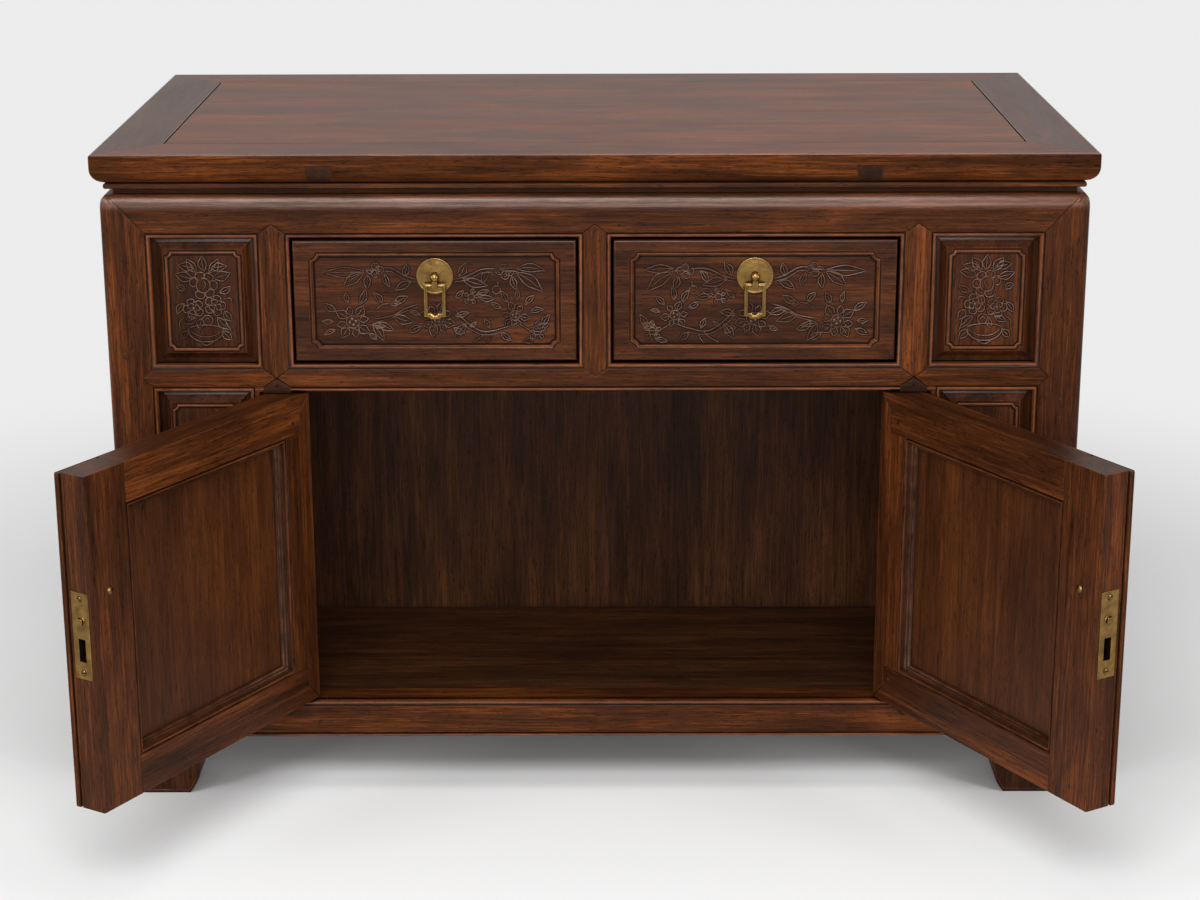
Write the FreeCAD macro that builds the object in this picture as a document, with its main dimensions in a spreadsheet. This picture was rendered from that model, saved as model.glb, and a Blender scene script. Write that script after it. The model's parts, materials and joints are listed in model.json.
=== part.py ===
import FreeCAD, Part
import math
import os
import Sketcher
from FreeCAD import Rotation, Vector

# Driving dimensions of the cabinet, in millimetres and degrees
DIMENSIONS = {
    # Top: a mitred frame round a flush panel, with two battens under it
    "top_width": 1100.0,
    "top_depth": 580.0,
    "top_thickness": 33.0,
    "top_overhang": 6.5,
    "top_member_width": 70.0,
    "top_edge_radius": 17.0,
    "top_arris_radius": 2.5,
    "top_panel_thickness": 14.0,
    "top_panel_end_gap": 2.0,
    "top_panel_side_gap": 0.6,
    "top_tongue_reach": 9.0,
    "top_tongue_thickness": 6.0,
    "batten_from_end": 250.0,
    "batten_width": 28.0,
    "batten_height": 18.0,
    # Bead and waist under the top
    "bead_height": 7.0,
    "bead_set_in": 12.0,
    "waist_height": 6.0,
    "waist_set_in": 21.0,
    "waist_strip_width": 26.0,
    # Carcass, from the floor up
    "foot_height": 70.0,
    "bottom_rail_height": 45.0,
    "door_opening_height": 373.0,
    "mid_rail_height": 32.0,
    "drawer_opening_height": 143.0,
    "top_rail_height": 48.0,
    "post_width": 54.5,
    "rail_thickness": 40.0,
    "shoulder_radius": 10.0,
    "rail_point": 15.0,
    "tenon_length": 22.0,
    "tenon_thickness": 12.0,
    "tenon_shoulder": 8.0,
    # Feet
    "foot_width": 81.0,
    "foot_toe_width": 67.0,
    "foot_straight": 36.0,
    "foot_curve_radius": 60.0,
    "foot_tenon_side": 24.0,
    "foot_tenon_height": 14.0,
    # Stiles between the drawers, jambs and pivot blocks
    "side_panel_width": 113.5,
    "stile_width": 40.0,
    "centre_stile_width": 36.0,
    "stile_top_point": 12.0,
    "jamb_width": 10.0,
    "pivot_block_half_width": 16.0,
    "pivot_block_depth": 30.0,
    "pivot_block_lip": 1.4,
    "point_gap": 0.5,
    # Small carved panels in the front, end panels, back panels
    "panel_thickness": 10.0,
    "panel_set_back": 14.0,
    "panel_tongue": 6.0,
    "panel_play": 0.3,
    "panel_bevel": 13.0,
    "panel_field_set_back": 5.0,
    "end_panel_set_back": 10.0,
    "end_panel_bevel": 20.0,
    # Floor and the panel behind the compartment
    "floor_thickness": 14.0,
    "floor_tongue": 7.0,
    "compartment_depth": 310.0,
    "inner_back_thickness": 10.0,
    # Drawers and what carries them
    "drawer_gap_side": 2.5,
    "drawer_gap_top": 3.0,
    "drawer_gap_bottom": 3.5,
    "drawer_front_thickness": 20.0,
    "drawer_field_margin": 15.0,
    "drawer_field_bevel": 4.0,
    "drawer_field_depth": 3.0,
    "drawer_length": 420.0,
    "drawer_side_thickness": 11.0,
    "drawer_side_height": 108.0,
    "drawer_side_set_in": 4.0,
    "drawer_bottom_thickness": 7.0,
    "drawer_bottom_lift": 8.0,
    "drawer_bottom_reach": 5.0,
    "drawer_edge_radius": 4.0,
    "runner_thickness": 20.0,
    "runner_shelf": 26.0,
    "guide_width": 12.0,
    "guide_height": 40.0,
    "running_gap": 0.4,
    # Doors, drawn closed and then swung about their pivots
    "door_thickness": 38.0,
    "door_gap_side": 2.0,
    "door_gap_top": 2.0,
    "door_gap_bottom": 2.0,
    "door_gap_middle": 1.0,
    "door_open_angle": 121.0,
    "hinge_stile_width": 44.0,
    "free_stile_width": 63.0,
    "door_rail_height": 44.0,
    "door_corner_radius": 5.0,
    "door_lip_thickness": 6.0,
    "door_lip_reach": 2.5,
    "door_panel_thickness": 12.0,
    "door_panel_set_back": 14.0,
    "door_panel_tongue": 7.0,
    "door_panel_bevel": 22.0,
    "door_panel_field_set_back": 6.0,
    "pivot_set_back": 8.8,
    "pivot_radius": 5.0,
    "pivot_length": 10.0,
    "pivot_fit": 0.08,
    "pivot_end_gap": 0.3,
    # Locks in the free edges
    "lock_plate_length": 95.0,
    "lock_plate_width": 23.0,
    "lock_plate_thickness": 2.0,
    "lock_plate_above_middle": 11.0,
    "lock_stud_side": 7.0,
    "lock_stud_length": 9.0,
    "lock_stud_proud": 2.6,
    "lock_stud_rise": 16.0,
    "lock_stud_fit": 0.3,
    "lock_slot_height": 25.0,
    "lock_slot_width": 8.0,
    "lock_slot_depth": 12.0,
    "lock_slot_drop": 16.0,
    "lock_screw_radius": 3.0,
    "lock_screw_inset": 7.0,
    "lock_screw_height": 0.8,
    # Pulls: a round plate, a domed boss, an eye and a hanging bail
    "plate_radius": 20.5,
    "plate_thickness": 1.6,
    "boss_radius": 4.6,
    "boss_height": 6.0,
    "eye_drop": 9.5,
    "eye_stand_off": 7.2,
    "eye_radius": 4.0,
    "eye_width": 5.0,
    "bar_radius": 1.8,
    "bar_fit": 0.09,
    "bail_width": 24.0,
    "bail_height": 40.0,
    "bail_frame": 4.2,
    "bail_thickness": 2.6,
    "bail_mouth": 7.0,
    "drawer_pull_above_middle": 28.0,
    "door_pull_above_middle": 52.5,
    "door_pull_inset": 37.0,
    "rivet_radius": 3.0,
    "rivet_height": 1.4,
}

doc = FreeCAD.newDocument("KangCabinet")
sheet = doc.addObject("Spreadsheet::Sheet", "dims")
for row, (size_name, size_value) in enumerate(DIMENSIONS.items(), start=1):
    sheet.set(f"A{row}", size_name)
    sheet.set(f"B{row}", str(size_value))
    sheet.setAlias(f"B{row}", size_name)
doc.recompute()


class Size:
    # A size worked out from the sheet: its expression, and its value for starting geometry
    def __init__(self, text, value):
        self.text = text
        self.value = value

    def __add__(self, other):
        return join(self, "+", other, lambda a, b: a + b)

    def __radd__(self, other):
        return join(other, "+", self, lambda a, b: a + b)

    def __sub__(self, other):
        return join(self, "-", other, lambda a, b: a - b)

    def __rsub__(self, other):
        return join(other, "-", self, lambda a, b: a - b)

    def __mul__(self, other):
        return join(self, "*", other, lambda a, b: a * b)

    def __rmul__(self, other):
        return join(other, "*", self, lambda a, b: a * b)

    def __truediv__(self, other):
        return join(self, "/", other, lambda a, b: a / b)

    def __neg__(self):
        return join(0, "-", self, lambda a, b: a - b)


def as_size(entry):
    return entry if isinstance(entry, Size) else Size(repr(entry), float(entry))


def join(first, sign, second, work):
    first, second = as_size(first), as_size(second)
    return Size(f"({first.text} {sign} {second.text})", work(first.value, second.value))


def dim(alias):
    return Size(f"dims.{alias}", float(sheet.get(alias)))


def sine(angle):
    return Size(f"sin({angle.text})", math.sin(math.radians(angle.value)))


def cosine(angle):
    return Size(f"cos({angle.text})", math.cos(math.radians(angle.value)))


def bind(item, path, size):
    item.setExpression(path, as_size(size).text)


def place_at(item, x, y, z):
    bind(item, "Placement.Base.x", x)
    bind(item, "Placement.Base.y", y)
    bind(item, "Placement.Base.z", z)
    return item


# Solids made from two opposite corners, so that the left and right halves share one description
def box(name, low, high):
    item = doc.addObject("Part::Box", name)
    for side, axis in enumerate(("Length", "Width", "Height")):
        bind(item, axis, high[side] - low[side])
    return place_at(item, *low)


def mirrored_box(name, side, low, high):
    # side is -1 for the left half and 1 for the right half
    if side > 0:
        return box(name, low, high)
    return box(name, (-high[0], low[1], low[2]), (-low[0], high[1], high[2]))


def cylinder(name, centre, axis, radius, height):
    item = doc.addObject("Part::Cylinder", name)
    bind(item, "Radius", radius)
    bind(item, "Height", height)
    item.Placement.Rotation = Rotation(Vector(0, 0, 1), Vector(*axis))
    return place_at(item, *centre)


def cut(name, base, tools):
    for number, tool in enumerate(tools, start=1):
        item = doc.addObject("Part::Cut", f"{name}_cut_{number}")
        item.Base = base
        item.Tool = tool
        item.Refine = True
        base = item
    return base


def fuse(name, parts):
    item = doc.addObject("Part::MultiFuse", name)
    item.Shapes = parts
    item.Refine = True
    return item


def common(name, parts):
    item = doc.addObject("Part::MultiCommon", name)
    item.Shapes = parts
    item.Refine = True
    return item


def group(name, parts):
    item = doc.addObject("Part::Compound", name)
    item.Links = parts
    return item


# A body whose pad follows an outline drawn on one of its own origin planes
PLANES = {"XY": ("XY_Plane", 1, False), "XZ": ("XZ_Plane", -1, True), "YZ": ("YZ_Plane", 1, False)}


def arc_between(start, end, radius):
    # A positive radius turns left on the way from start to end
    chord = end - start
    half = chord.Length / 2
    left = Vector(-chord.y, chord.x, 0).normalize()
    rise = math.sqrt(max(radius * radius - half * half, 0))
    centre = (start + end) * 0.5 + left * math.copysign(rise, radius)
    first, last = (start, end) if radius > 0 else (end, start)
    angles = [math.atan2(spot.y - centre.y, spot.x - centre.x) for spot in (first, last)]
    if angles[1] < angles[0]:
        angles[1] += 2 * math.pi
    return Part.ArcOfCircle(Part.Circle(centre, Vector(0, 0, 1), abs(radius)), *angles)


def outline_sketch(body, plane, corners, start):
    role, sign, _ = PLANES[plane]
    sketch = body.newObject("Sketcher::SketchObject", f"{body.Name}_outline")
    origin_plane = [item for item in body.Origin.OriginFeatures if item.Role == role][0]
    sketch.AttachmentSupport = [(origin_plane, "")]
    sketch.MapMode = "FlatFace"
    bind(sketch, "AttachmentOffset.Base.z", sign * start)
    spots = [Vector(as_size(c[0]).value, as_size(c[1]).value, 0) for c in corners]
    ends = []
    for number, corner in enumerate(corners):
        here, there = spots[number], spots[(number + 1) % len(spots)]
        if len(corner) == 2:
            sketch.addGeometry(Part.LineSegment(here, there), False)
            ends.append((1, 2))
            continue
        radius = as_size(corner[2])
        sketch.addGeometry(arc_between(here, there, radius.value), False)
        ends.append((1, 2) if radius.value > 0 else (2, 1))
        index = sketch.addConstraint(Sketcher.Constraint("Radius", number, abs(radius.value)))
        sketch.renameConstraint(index, f"radius_{number}")
        bind(sketch, f"Constraints.radius_{number}", radius if radius.value > 0 else -radius)
    for number, corner in enumerate(corners):
        after = (number + 1) % len(corners)
        sketch.addConstraint(
            Sketcher.Constraint("Coincident", number, ends[number][1], after, ends[after][0])
        )
        for kind, letter, entry in (("DistanceX", "x", corner[0]), ("DistanceY", "y", corner[1])):
            size = as_size(entry)
            fixed = Sketcher.Constraint(kind, -1, 1, number, ends[number][0], size.value)
            index = sketch.addConstraint(fixed)
            sketch.renameConstraint(index, f"{letter}_{number}")
            bind(sketch, f"Constraints.{letter}_{number}", size)
    return sketch


def prism(name, plane, corners, start, length):
    body = doc.addObject("PartDesign::Body", name)
    sketch = outline_sketch(body, plane, corners, start)
    pad = body.newObject("PartDesign::Pad", f"{name}_pad")
    pad.Profile = sketch
    pad.Reversed = PLANES[plane][2]
    bind(pad, "Length", length)
    doc.recompute()
    return body


def round_edges(body, name, radius, wanted):
    # wanted is given an edge's middle and its direction, and says whether it is rounded
    base = body.Tip
    fillet = body.newObject("PartDesign::Fillet", name)
    picked = []
    for number, edge in enumerate(base.Shape.Edges, start=1):
        middle = edge.valueAt((edge.FirstParameter + edge.LastParameter) / 2)
        run = edge.valueAt(edge.LastParameter) - edge.valueAt(edge.FirstParameter)
        if run.Length > 0 and wanted(middle, run.normalize()):
            picked.append(f"Edge{number}")
    fillet.Base = (base, picked)
    bind(fillet, "Radius", radius)
    body.Tip = fillet
    doc.recompute()
    return body


nodes = {}


def keep(label, item):
    item.Label = label
    nodes[label] = item
    return item


# Levels and planes that more than one piece uses
rail_bottom = dim("foot_height")
floor_level = rail_bottom + dim("bottom_rail_height")
mid_bottom = floor_level + dim("door_opening_height")
mid_top = mid_bottom + dim("mid_rail_height")
drawer_top = mid_top + dim("drawer_opening_height")
shoulder = drawer_top + dim("top_rail_height")
bead_bottom = shoulder + dim("waist_height")
top_bottom = bead_bottom + dim("bead_height")
top_level = top_bottom + dim("top_thickness")

half_top = dim("top_width") / 2
half_body = half_top - dim("top_overhang")
post_inner = half_body - dim("post_width")
rail_inner = half_body - dim("rail_thickness")
jamb_inner = post_inner - dim("side_panel_width")
jamb_outer = jamb_inner + dim("jamb_width")
stile_centre = jamb_inner - dim("stile_width") / 2
stile_inner = stile_centre - dim("stile_width") / 2
pivot_from_edge = dim("stile_width") / 2 - dim("door_gap_side")
door_reach = stile_centre - dim("door_gap_middle") / 2

# The origin lies on the floor, under the middle of everything with the doors open as drawn
open_angle = dim("door_open_angle")
swing_front = door_reach * sine(open_angle)
swing_inner = (dim("door_thickness") - dim("pivot_set_back")) * cosine(open_angle)
reach_in_front = swing_front - swing_inner - dim("pivot_set_back")
front = (reach_in_front - dim("top_depth") + dim("top_overhang")) / 2
top_front = front - dim("top_overhang")
top_back = top_front + dim("top_depth")
back = top_back - dim("top_overhang")
pivot_y = front + dim("pivot_set_back")


# Mitred members of a rectangular ring, seen from above
def ring_corners(where, half_width, low_y, high_y, width):
    outer = {"lf": (-half_width, low_y), "rf": (half_width, low_y)}
    outer.update({"lb": (-half_width, high_y), "rb": (half_width, high_y)})
    inner = {"lf": (width - half_width, low_y + width), "rf": (half_width - width, low_y + width)}
    inner.update({"lb": (width - half_width, high_y - width), "rb": (half_width - width, high_y - width)})
    ends = {"front": ("lf", "rf"), "back": ("rb", "lb"), "left": ("lb", "lf"), "right": ("rf", "rb")}
    first, last = ends[where]
    return [outer[first], outer[last], inner[last], inner[first]]


RING = ("front", "back", "left", "right")

# Shapes that more than one piece is trimmed to
slab_corners = [(-half_top, top_front), (half_top, top_front), (half_top, top_back), (-half_top, top_back)]


def rounded_slab(name):
    slab = prism(name, "XY", slab_corners, top_bottom, dim("top_thickness"))
    low, high = top_bottom.value, top_level.value
    round_edges(slab, f"{name}_nosing", dim("top_edge_radius"), lambda m, d: abs(m.z - low) < 1e-6)
    round_edges(slab, f"{name}_arris", dim("top_arris_radius"), lambda m, d: abs(m.z - high) < 1e-6)
    return slab


def carcass_envelope(name):
    corners = [(-half_body, front), (half_body, front), (half_body, back), (-half_body, back)]
    envelope = prism(name, "XY", corners, as_size(0), shoulder)
    high = shoulder.value
    return round_edges(
        envelope,
        f"{name}_shoulder",
        dim("shoulder_radius"),
        lambda m, d: abs(d.z) > 1 - 1e-6 or abs(m.z - high) < 1e-6,
    )


# Top
def make_top():
    slab = rounded_slab("top_slab")
    panel_half = half_top - dim("top_member_width")
    panel_front = top_front + dim("top_member_width")
    panel_back = top_back - dim("top_member_width")
    panel_low = top_level - dim("top_panel_thickness")
    tongue_high = panel_low + dim("top_tongue_thickness")
    end_gap, side_gap, play = dim("top_panel_end_gap"), dim("top_panel_side_gap"), dim("panel_play")
    reach = dim("top_tongue_reach")

    def tongue(name, slack):
        low = (-panel_half - reach - slack, panel_front - reach - slack, panel_low - slack)
        high = (panel_half + reach + slack, panel_back + reach + slack, tongue_high + slack)
        return box(name, low, high)

    face_low = (end_gap - panel_half, panel_front + side_gap, panel_low)
    face_high = (panel_half - end_gap, panel_back - side_gap, top_level)
    face_board = box("top_panel_face", face_low, face_high)
    keep("top_panel", fuse("top_panel", [face_board, tongue("top_tongue", 0)]))

    battens = []
    for side in (-1, 1):
        offset, half = half_top - dim("batten_from_end"), dim("batten_width") / 2
        low = (offset - half, top_front, panel_low - dim("batten_height"))
        high = (offset + half, top_back, panel_low)
        blank = mirrored_box("batten_blank", side, low, high)
        battens.append(common("batten", [blank, slab]))
    keep("top_battens", group("top_battens", battens))

    groove = tongue("top_groove", play)
    for where in RING:
        corners = ring_corners(where, half_top, top_front, top_back, dim("top_member_width"))
        plan = prism(f"top_{where}_plan", "XY", corners, top_bottom, dim("top_thickness"))
        blank = common(f"top_{where}_blank", [plan, slab])
        label = {"left": "top_left_end", "right": "top_right_end"}.get(where, f"top_{where}_member")
        keep(label, cut(label, blank, [groove] + battens))

    strips = []
    for where in RING:
        width = dim("waist_strip_width")
        rings = []
        for name, set_in, low, height in (
            ("bead", dim("bead_set_in"), bead_bottom, dim("bead_height")),
            ("waist", dim("waist_set_in"), shoulder, dim("waist_height")),
        ):
            inner_width = width + dim("waist_set_in") - set_in
            edges = (half_top - set_in, top_front + set_in, top_back - set_in)
            corners = ring_corners(where, *edges, inner_width)
            rings.append(prism(f"{name}_{where}", "XY", corners, low, height))
        strips.append(fuse(f"waist_strip_{where}", rings))
    keep("waist_frame", group("waist_frame", strips))


# Rails with pointed ends, let into the posts, and with a tenon at each end
def pointed_rail(name, low, high, face_y, into, tenon_low):
    middle, point = (low + high) / 2, dim("rail_point")
    corners = [(-post_inner, low), (post_inner, low), (post_inner + point, middle)]
    corners += [(post_inner, high), (-post_inner, high), (-post_inner - point, middle)]
    inner_y = face_y + into * dim("rail_thickness")
    start = face_y if into > 0 else inner_y
    rail = prism(f"{name}_face", "XZ", corners, start, dim("rail_thickness"))
    reach, half = post_inner + dim("tenon_length"), dim("tenon_thickness") / 2
    centre = start + dim("rail_thickness") / 2
    tenon_high = high - dim("tenon_shoulder")
    tenon = box(f"{name}_tenon", (-reach, centre - half, tenon_low), (reach, centre + half, tenon_high))
    return fuse(name, [rail, tenon])


def mitred_top_rail(name, where, envelope):
    # A front or side outline, a plan outline and the rounded carcass, in common
    plan_corners = ring_corners(where, half_body, front, back, dim("rail_thickness"))
    plan = prism(f"{name}_plan", "XY", plan_corners, drawer_top, dim("top_rail_height"))
    if where in ("front", "back"):
        corners = [
            (-half_body, shoulder),
            (half_body, shoulder),
            (post_inner, drawer_top),
            (-post_inner, drawer_top),
        ]
        side = prism(f"{name}_face", "XZ", corners, front, back - front)
    else:
        inset = dim("post_width")
        corners = [
            (front, shoulder),
            (back, shoulder),
            (back - inset, drawer_top),
            (front + inset, drawer_top),
        ]
        side = prism(f"{name}_face", "YZ", corners, -half_body, half_body * 2)
    return common(name, [plan, side, envelope])


def stile(name, centre, width):
    # Both ends are pointed, the upper one flatter, and both are let into the rails
    half, low_point, high_point = width / 2, dim("mid_rail_height") / 2, dim("stile_top_point")
    corners = [(-half, mid_top), (-low_point, mid_top), (0, mid_top - low_point), (low_point, mid_top)]
    corners += [(half, mid_top), (half, drawer_top), (high_point, drawer_top)]
    corners += [(0, drawer_top + high_point), (-high_point, drawer_top), (-half, drawer_top)]
    placed = [(as_size(x) + centre, z) for x, z in corners]
    return prism(name, "XZ", placed, front, dim("rail_thickness"))


def pivot_block(name, side, seat, rise):
    # A small triangle let into the rail, with the socket that a door pin turns in
    half = dim("pivot_block_half_width")
    centre = side * stile_centre
    lip = dim("pivot_block_lip") * -rise
    peak = (dim("mid_rail_height") / 2 - dim("point_gap")) * rise
    corners = [(centre - half, seat + lip), (centre + half, seat + lip), (centre + half, seat)]
    corners += [(centre, seat + peak), (centre - half, seat)]
    block = prism(f"{name}_blank", "XZ", corners, front, dim("pivot_block_depth"))
    depth = dim("pivot_length") + dim("pivot_end_gap")
    start = seat + lip if rise > 0 else seat - depth
    radius = dim("pivot_radius") + dim("pivot_fit")
    full_depth = depth + dim("pivot_block_lip")
    socket = cylinder(f"{name}_socket", (centre, pivot_y, start), (0, 0, 1), radius, full_depth)
    return block, cut(name, block, [socket])


# Panels: a board with a bevelled margin and a raised field, and the groove that its tongue needs
def panel_board(name, low, high, normal, bevel, field_rise, tongue):
    # normal is (axis, sign): the face that the raised field stands on, inside the tongue
    axis, sign = normal
    board = box(f"{name}_board", low, high)
    wedge = doc.addObject("Part::Wedge", f"{name}_field")
    across = [number for number in range(3) if number != axis]
    inset = tongue + dim("panel_play")
    spans = [(low[number] + inset, high[number] - inset) for number in across]
    wide, tall = spans[0][1] - spans[0][0], spans[1][1] - spans[1][0]
    # The wedge rises along its own Y from a wide rectangle to one smaller by the bevel
    for corner in ("Xmin", "Zmin", "Ymin"):
        bind(wedge, corner, 0)
    bind(wedge, "Xmax", wide)
    bind(wedge, "Zmax", tall)
    bind(wedge, "Ymax", field_rise)
    for letter, extent in (("X", wide), ("Z", tall)):
        bind(wedge, f"{letter}2min", bevel)
        bind(wedge, f"{letter}2max", extent - bevel)
    face = high[axis] if sign > 0 else low[axis]
    if axis == 1 and sign < 0:
        wedge.Placement.Rotation = Rotation(Vector(0, 0, 1), 180)
        place_at(wedge, spans[0][1], face, spans[1][0])
    elif axis == 1:
        place_at(wedge, spans[0][0], face, spans[1][0])
    elif sign > 0:
        wedge.Placement.Rotation = Rotation(Vector(0, 0, 1), -90)
        place_at(wedge, face, spans[0][1], spans[1][0])
    else:
        wedge.Placement.Rotation = Rotation(Vector(0, 0, 1), 90)
        place_at(wedge, face, spans[0][0], spans[1][0])
    return fuse(name, [board, wedge])


def groove_for(name, low, high):
    play = dim("panel_play")
    return box(name, tuple(low[n] - play for n in range(3)), tuple(high[n] + play for n in range(3)))


def span(side, near, far):
    # The low and high X of a piece on one side, from its distances to the middle
    return (near, far) if side > 0 else (-far, -near)


def make_carcass():
    envelope = carcass_envelope("carcass_envelope")
    tongue = dim("panel_tongue")
    board_front = front + dim("panel_set_back")
    board_back = board_front + dim("panel_thickness")
    field_rise = dim("panel_set_back") - dim("panel_field_set_back")
    grooves = []

    # Four carved panels beside the drawers and the doors
    rows = (("upper", mid_top, drawer_top, jamb_inner), ("lower", floor_level, mid_bottom, jamb_outer))
    for side, name in ((-1, "left"), (1, "right")):
        for row_name, low_z, high_z, near in rows:
            x = span(side, near - tongue, post_inner + tongue)
            low = (x[0], board_front, low_z - tongue)
            high = (x[1], board_back, high_z + tongue)
            label = f"{name}_{row_name}_panel"
            keep(label, panel_board(label, low, high, (1, -1), dim("panel_bevel"), field_rise, tongue))
            grooves.append(groove_for(f"{label}_groove", low, high))

    # End panels, one tall board in each side
    board_side = half_body - dim("panel_set_back")
    rise = dim("panel_set_back") - dim("end_panel_set_back")
    end_y = (front + dim("post_width") - tongue, back - dim("post_width") + tongue)
    for side, name in ((-1, "left"), (1, "right")):
        x = span(side, board_side - dim("panel_thickness"), board_side)
        low = (x[0], end_y[0], floor_level - tongue)
        high = (x[1], end_y[1], drawer_top + tongue)
        label = f"{name}_end_panel"
        keep(label, panel_board(label, low, high, (0, side), dim("end_panel_bevel"), rise, tongue))
        grooves.append(groove_for(f"{label}_groove", low, high))

    # Two boards close the back
    backs = []
    for row_name, low_z, high_z in (("upper", mid_top, drawer_top), ("lower", floor_level, mid_bottom)):
        low = (-post_inner - tongue, back - dim("panel_set_back") - dim("panel_thickness"), low_z - tongue)
        high = (post_inner + tongue, back - dim("panel_set_back"), high_z + tongue)
        board = panel_board(
            f"back_{row_name}", low, high, (1, 1), dim("end_panel_bevel"), rise, tongue
        )
        backs.append(board)
        grooves.append(groove_for(f"back_{row_name}_groove", low, high))
    keep("back_panels", group("back_panels", backs))

    # Stiles and the blocks that hold the door pins, let into the rails
    stile_blanks = {}
    for name, centre, width in (
        ("left_stile", -stile_centre, dim("stile_width")),
        ("centre_stile", as_size(0), dim("centre_stile_width")),
        ("right_stile", stile_centre, dim("stile_width")),
    ):
        stile_blanks[name] = stile(f"{name}_blank", centre, width)
        keep(name, cut(name, stile_blanks[name], grooves[:4]))
    block_blanks, blocks = [], []
    for side, name in ((-1, "left"), (1, "right")):
        for row_name, seat, rise in (("upper", mid_bottom, 1), ("lower", floor_level, -1)):
            blank, block = pivot_block(f"{name}_{row_name}_pivot_block", side, seat, rise)
            block_blanks.append(blank)
            blocks.append(block)
    keep("pivot_blocks", group("pivot_blocks", blocks))

    # The floor, tongued into all four bottom rails, and the panel behind the compartment
    floor_low = floor_level - dim("floor_thickness")
    step = dim("floor_thickness") / 2
    floor_top = box(
        "floor_top",
        (-rail_inner, front + dim("rail_thickness"), floor_low),
        (rail_inner, back - dim("rail_thickness"), floor_level),
    )
    floor_reach = dim("floor_tongue")
    floor_tongue = box(
        "floor_tongue_board",
        (-rail_inner - floor_reach, front + dim("rail_thickness") - floor_reach, floor_low),
        (rail_inner + floor_reach, back - dim("rail_thickness") + floor_reach, floor_low + step),
    )
    floor_blank = fuse("floor_blank", [floor_top, floor_tongue])
    grooves.append(floor_tongue)
    panel_y = front + dim("compartment_depth")
    end_inner = board_side - dim("panel_thickness")
    runner_low = mid_top - dim("runner_thickness")
    inner_low = (-end_inner, panel_y, floor_level)
    inner_high = (end_inner, panel_y + dim("inner_back_thickness"), runner_low)
    keep("inner_back_panel", box("inner_back_panel", inner_low, inner_high))

    # Rails, whose tenons clear the tenons of the feet
    mid_tenon = mid_bottom + dim("tenon_shoulder")
    low_tenon = rail_bottom + dim("foot_tenon_height") + dim("tenon_shoulder")
    front_rails = {
        "front_top_rail": mitred_top_rail("front_top_rail_blank", "front", envelope),
        "front_mid_rail": pointed_rail("front_mid_rail_blank", mid_bottom, mid_top, front, 1, mid_tenon),
        "front_bottom_rail": pointed_rail(
            "front_bottom_rail_blank", rail_bottom, floor_level, front, 1, low_tenon
        ),
    }
    back_rails = [
        mitred_top_rail("back_top_rail_blank", "back", envelope),
        pointed_rail("back_mid_rail_blank", mid_bottom, mid_top, back, -1, mid_tenon),
        pointed_rail("back_bottom_rail_blank", rail_bottom, floor_level, back, -1, low_tenon),
    ]
    let_in = list(stile_blanks.values()) + block_blanks
    for label, blank in front_rails.items():
        front_rails[label] = keep(label, cut(label, blank, let_in + grooves[:4] + [floor_tongue]))
    back_cut = [cut(f"back_rail_{n}", rail, grooves[6:]) for n, rail in enumerate(back_rails)]
    keep("back_rails", group("back_rails", back_cut))
    for side, name in ((-1, "left"), (1, "right")):
        top_rail = mitred_top_rail(f"{name}_top_rail_blank", name, envelope)
        x = span(side, rail_inner, half_body)
        low = (x[0], front + dim("post_width"), rail_bottom)
        high = (x[1], back - dim("post_width"), floor_level)
        low_rail = box(f"{name}_bottom_rail_blank", low, high)
        seats = grooves[4:6] + [floor_tongue]
        pieces = [
            cut(f"{name}_side_rail_{n}", rail, seats) for n, rail in enumerate((top_rail, low_rail))
        ]
        label = f"{name}_side_rails"
        keep(label, group(label, pieces))

    # Posts stand on the feet, and the rails, panels and feet are let into them
    feet = []
    pointed = [front_rails["front_mid_rail"], front_rails["front_bottom_rail"]] + back_cut[1:]
    posts = []
    for end, face_y, into in (("front", front, 1), ("back", back, -1)):
        for side, name in ((-1, "left"), (1, "right")):
            inner_y = face_y + into * dim("post_width")
            face = [(side * half_body, rail_bottom), (side * half_body, shoulder)]
            face += [(side * post_inner, drawer_top), (side * post_inner, rail_bottom)]
            flank = [
                (face_y, rail_bottom),
                (face_y, shoulder),
                (inner_y, drawer_top),
                (inner_y, rail_bottom),
            ]
            label = f"{end}_{name}_post"
            low_y = face_y if into > 0 else inner_y
            low_x = span(side, post_inner, half_body)[0]
            blank = common(
                f"{label}_blank",
                [
                    prism(f"{label}_face", "XZ", face, low_y, dim("post_width")),
                    prism(f"{label}_flank", "YZ", flank, low_x, dim("post_width")),
                    envelope,
                ],
            )
            foot, foot_tenon = make_foot(f"{end}_{name}_foot", side, face_y, into, envelope)
            feet.append(foot)
            post = cut(label, blank, pointed + grooves + [foot_tenon])
            posts.append(keep(label, post))
    keep("feet", group("feet", feet))
    keep("floor_board", cut("floor_board", floor_blank, posts))

    # Jambs that the closed doors stand beside
    jambs = []
    for side in (-1, 1):
        low = (jamb_inner, front, floor_level)
        high = (jamb_outer, front + dim("rail_thickness"), mid_bottom)
        blank = mirrored_box("jamb_blank", side, low, high)
        jambs.append(cut(f"jamb_{side + 1}", blank, grooves[:4]))
    keep("door_jambs", group("door_jambs", jambs))
    make_runners(runner_low)


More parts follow.
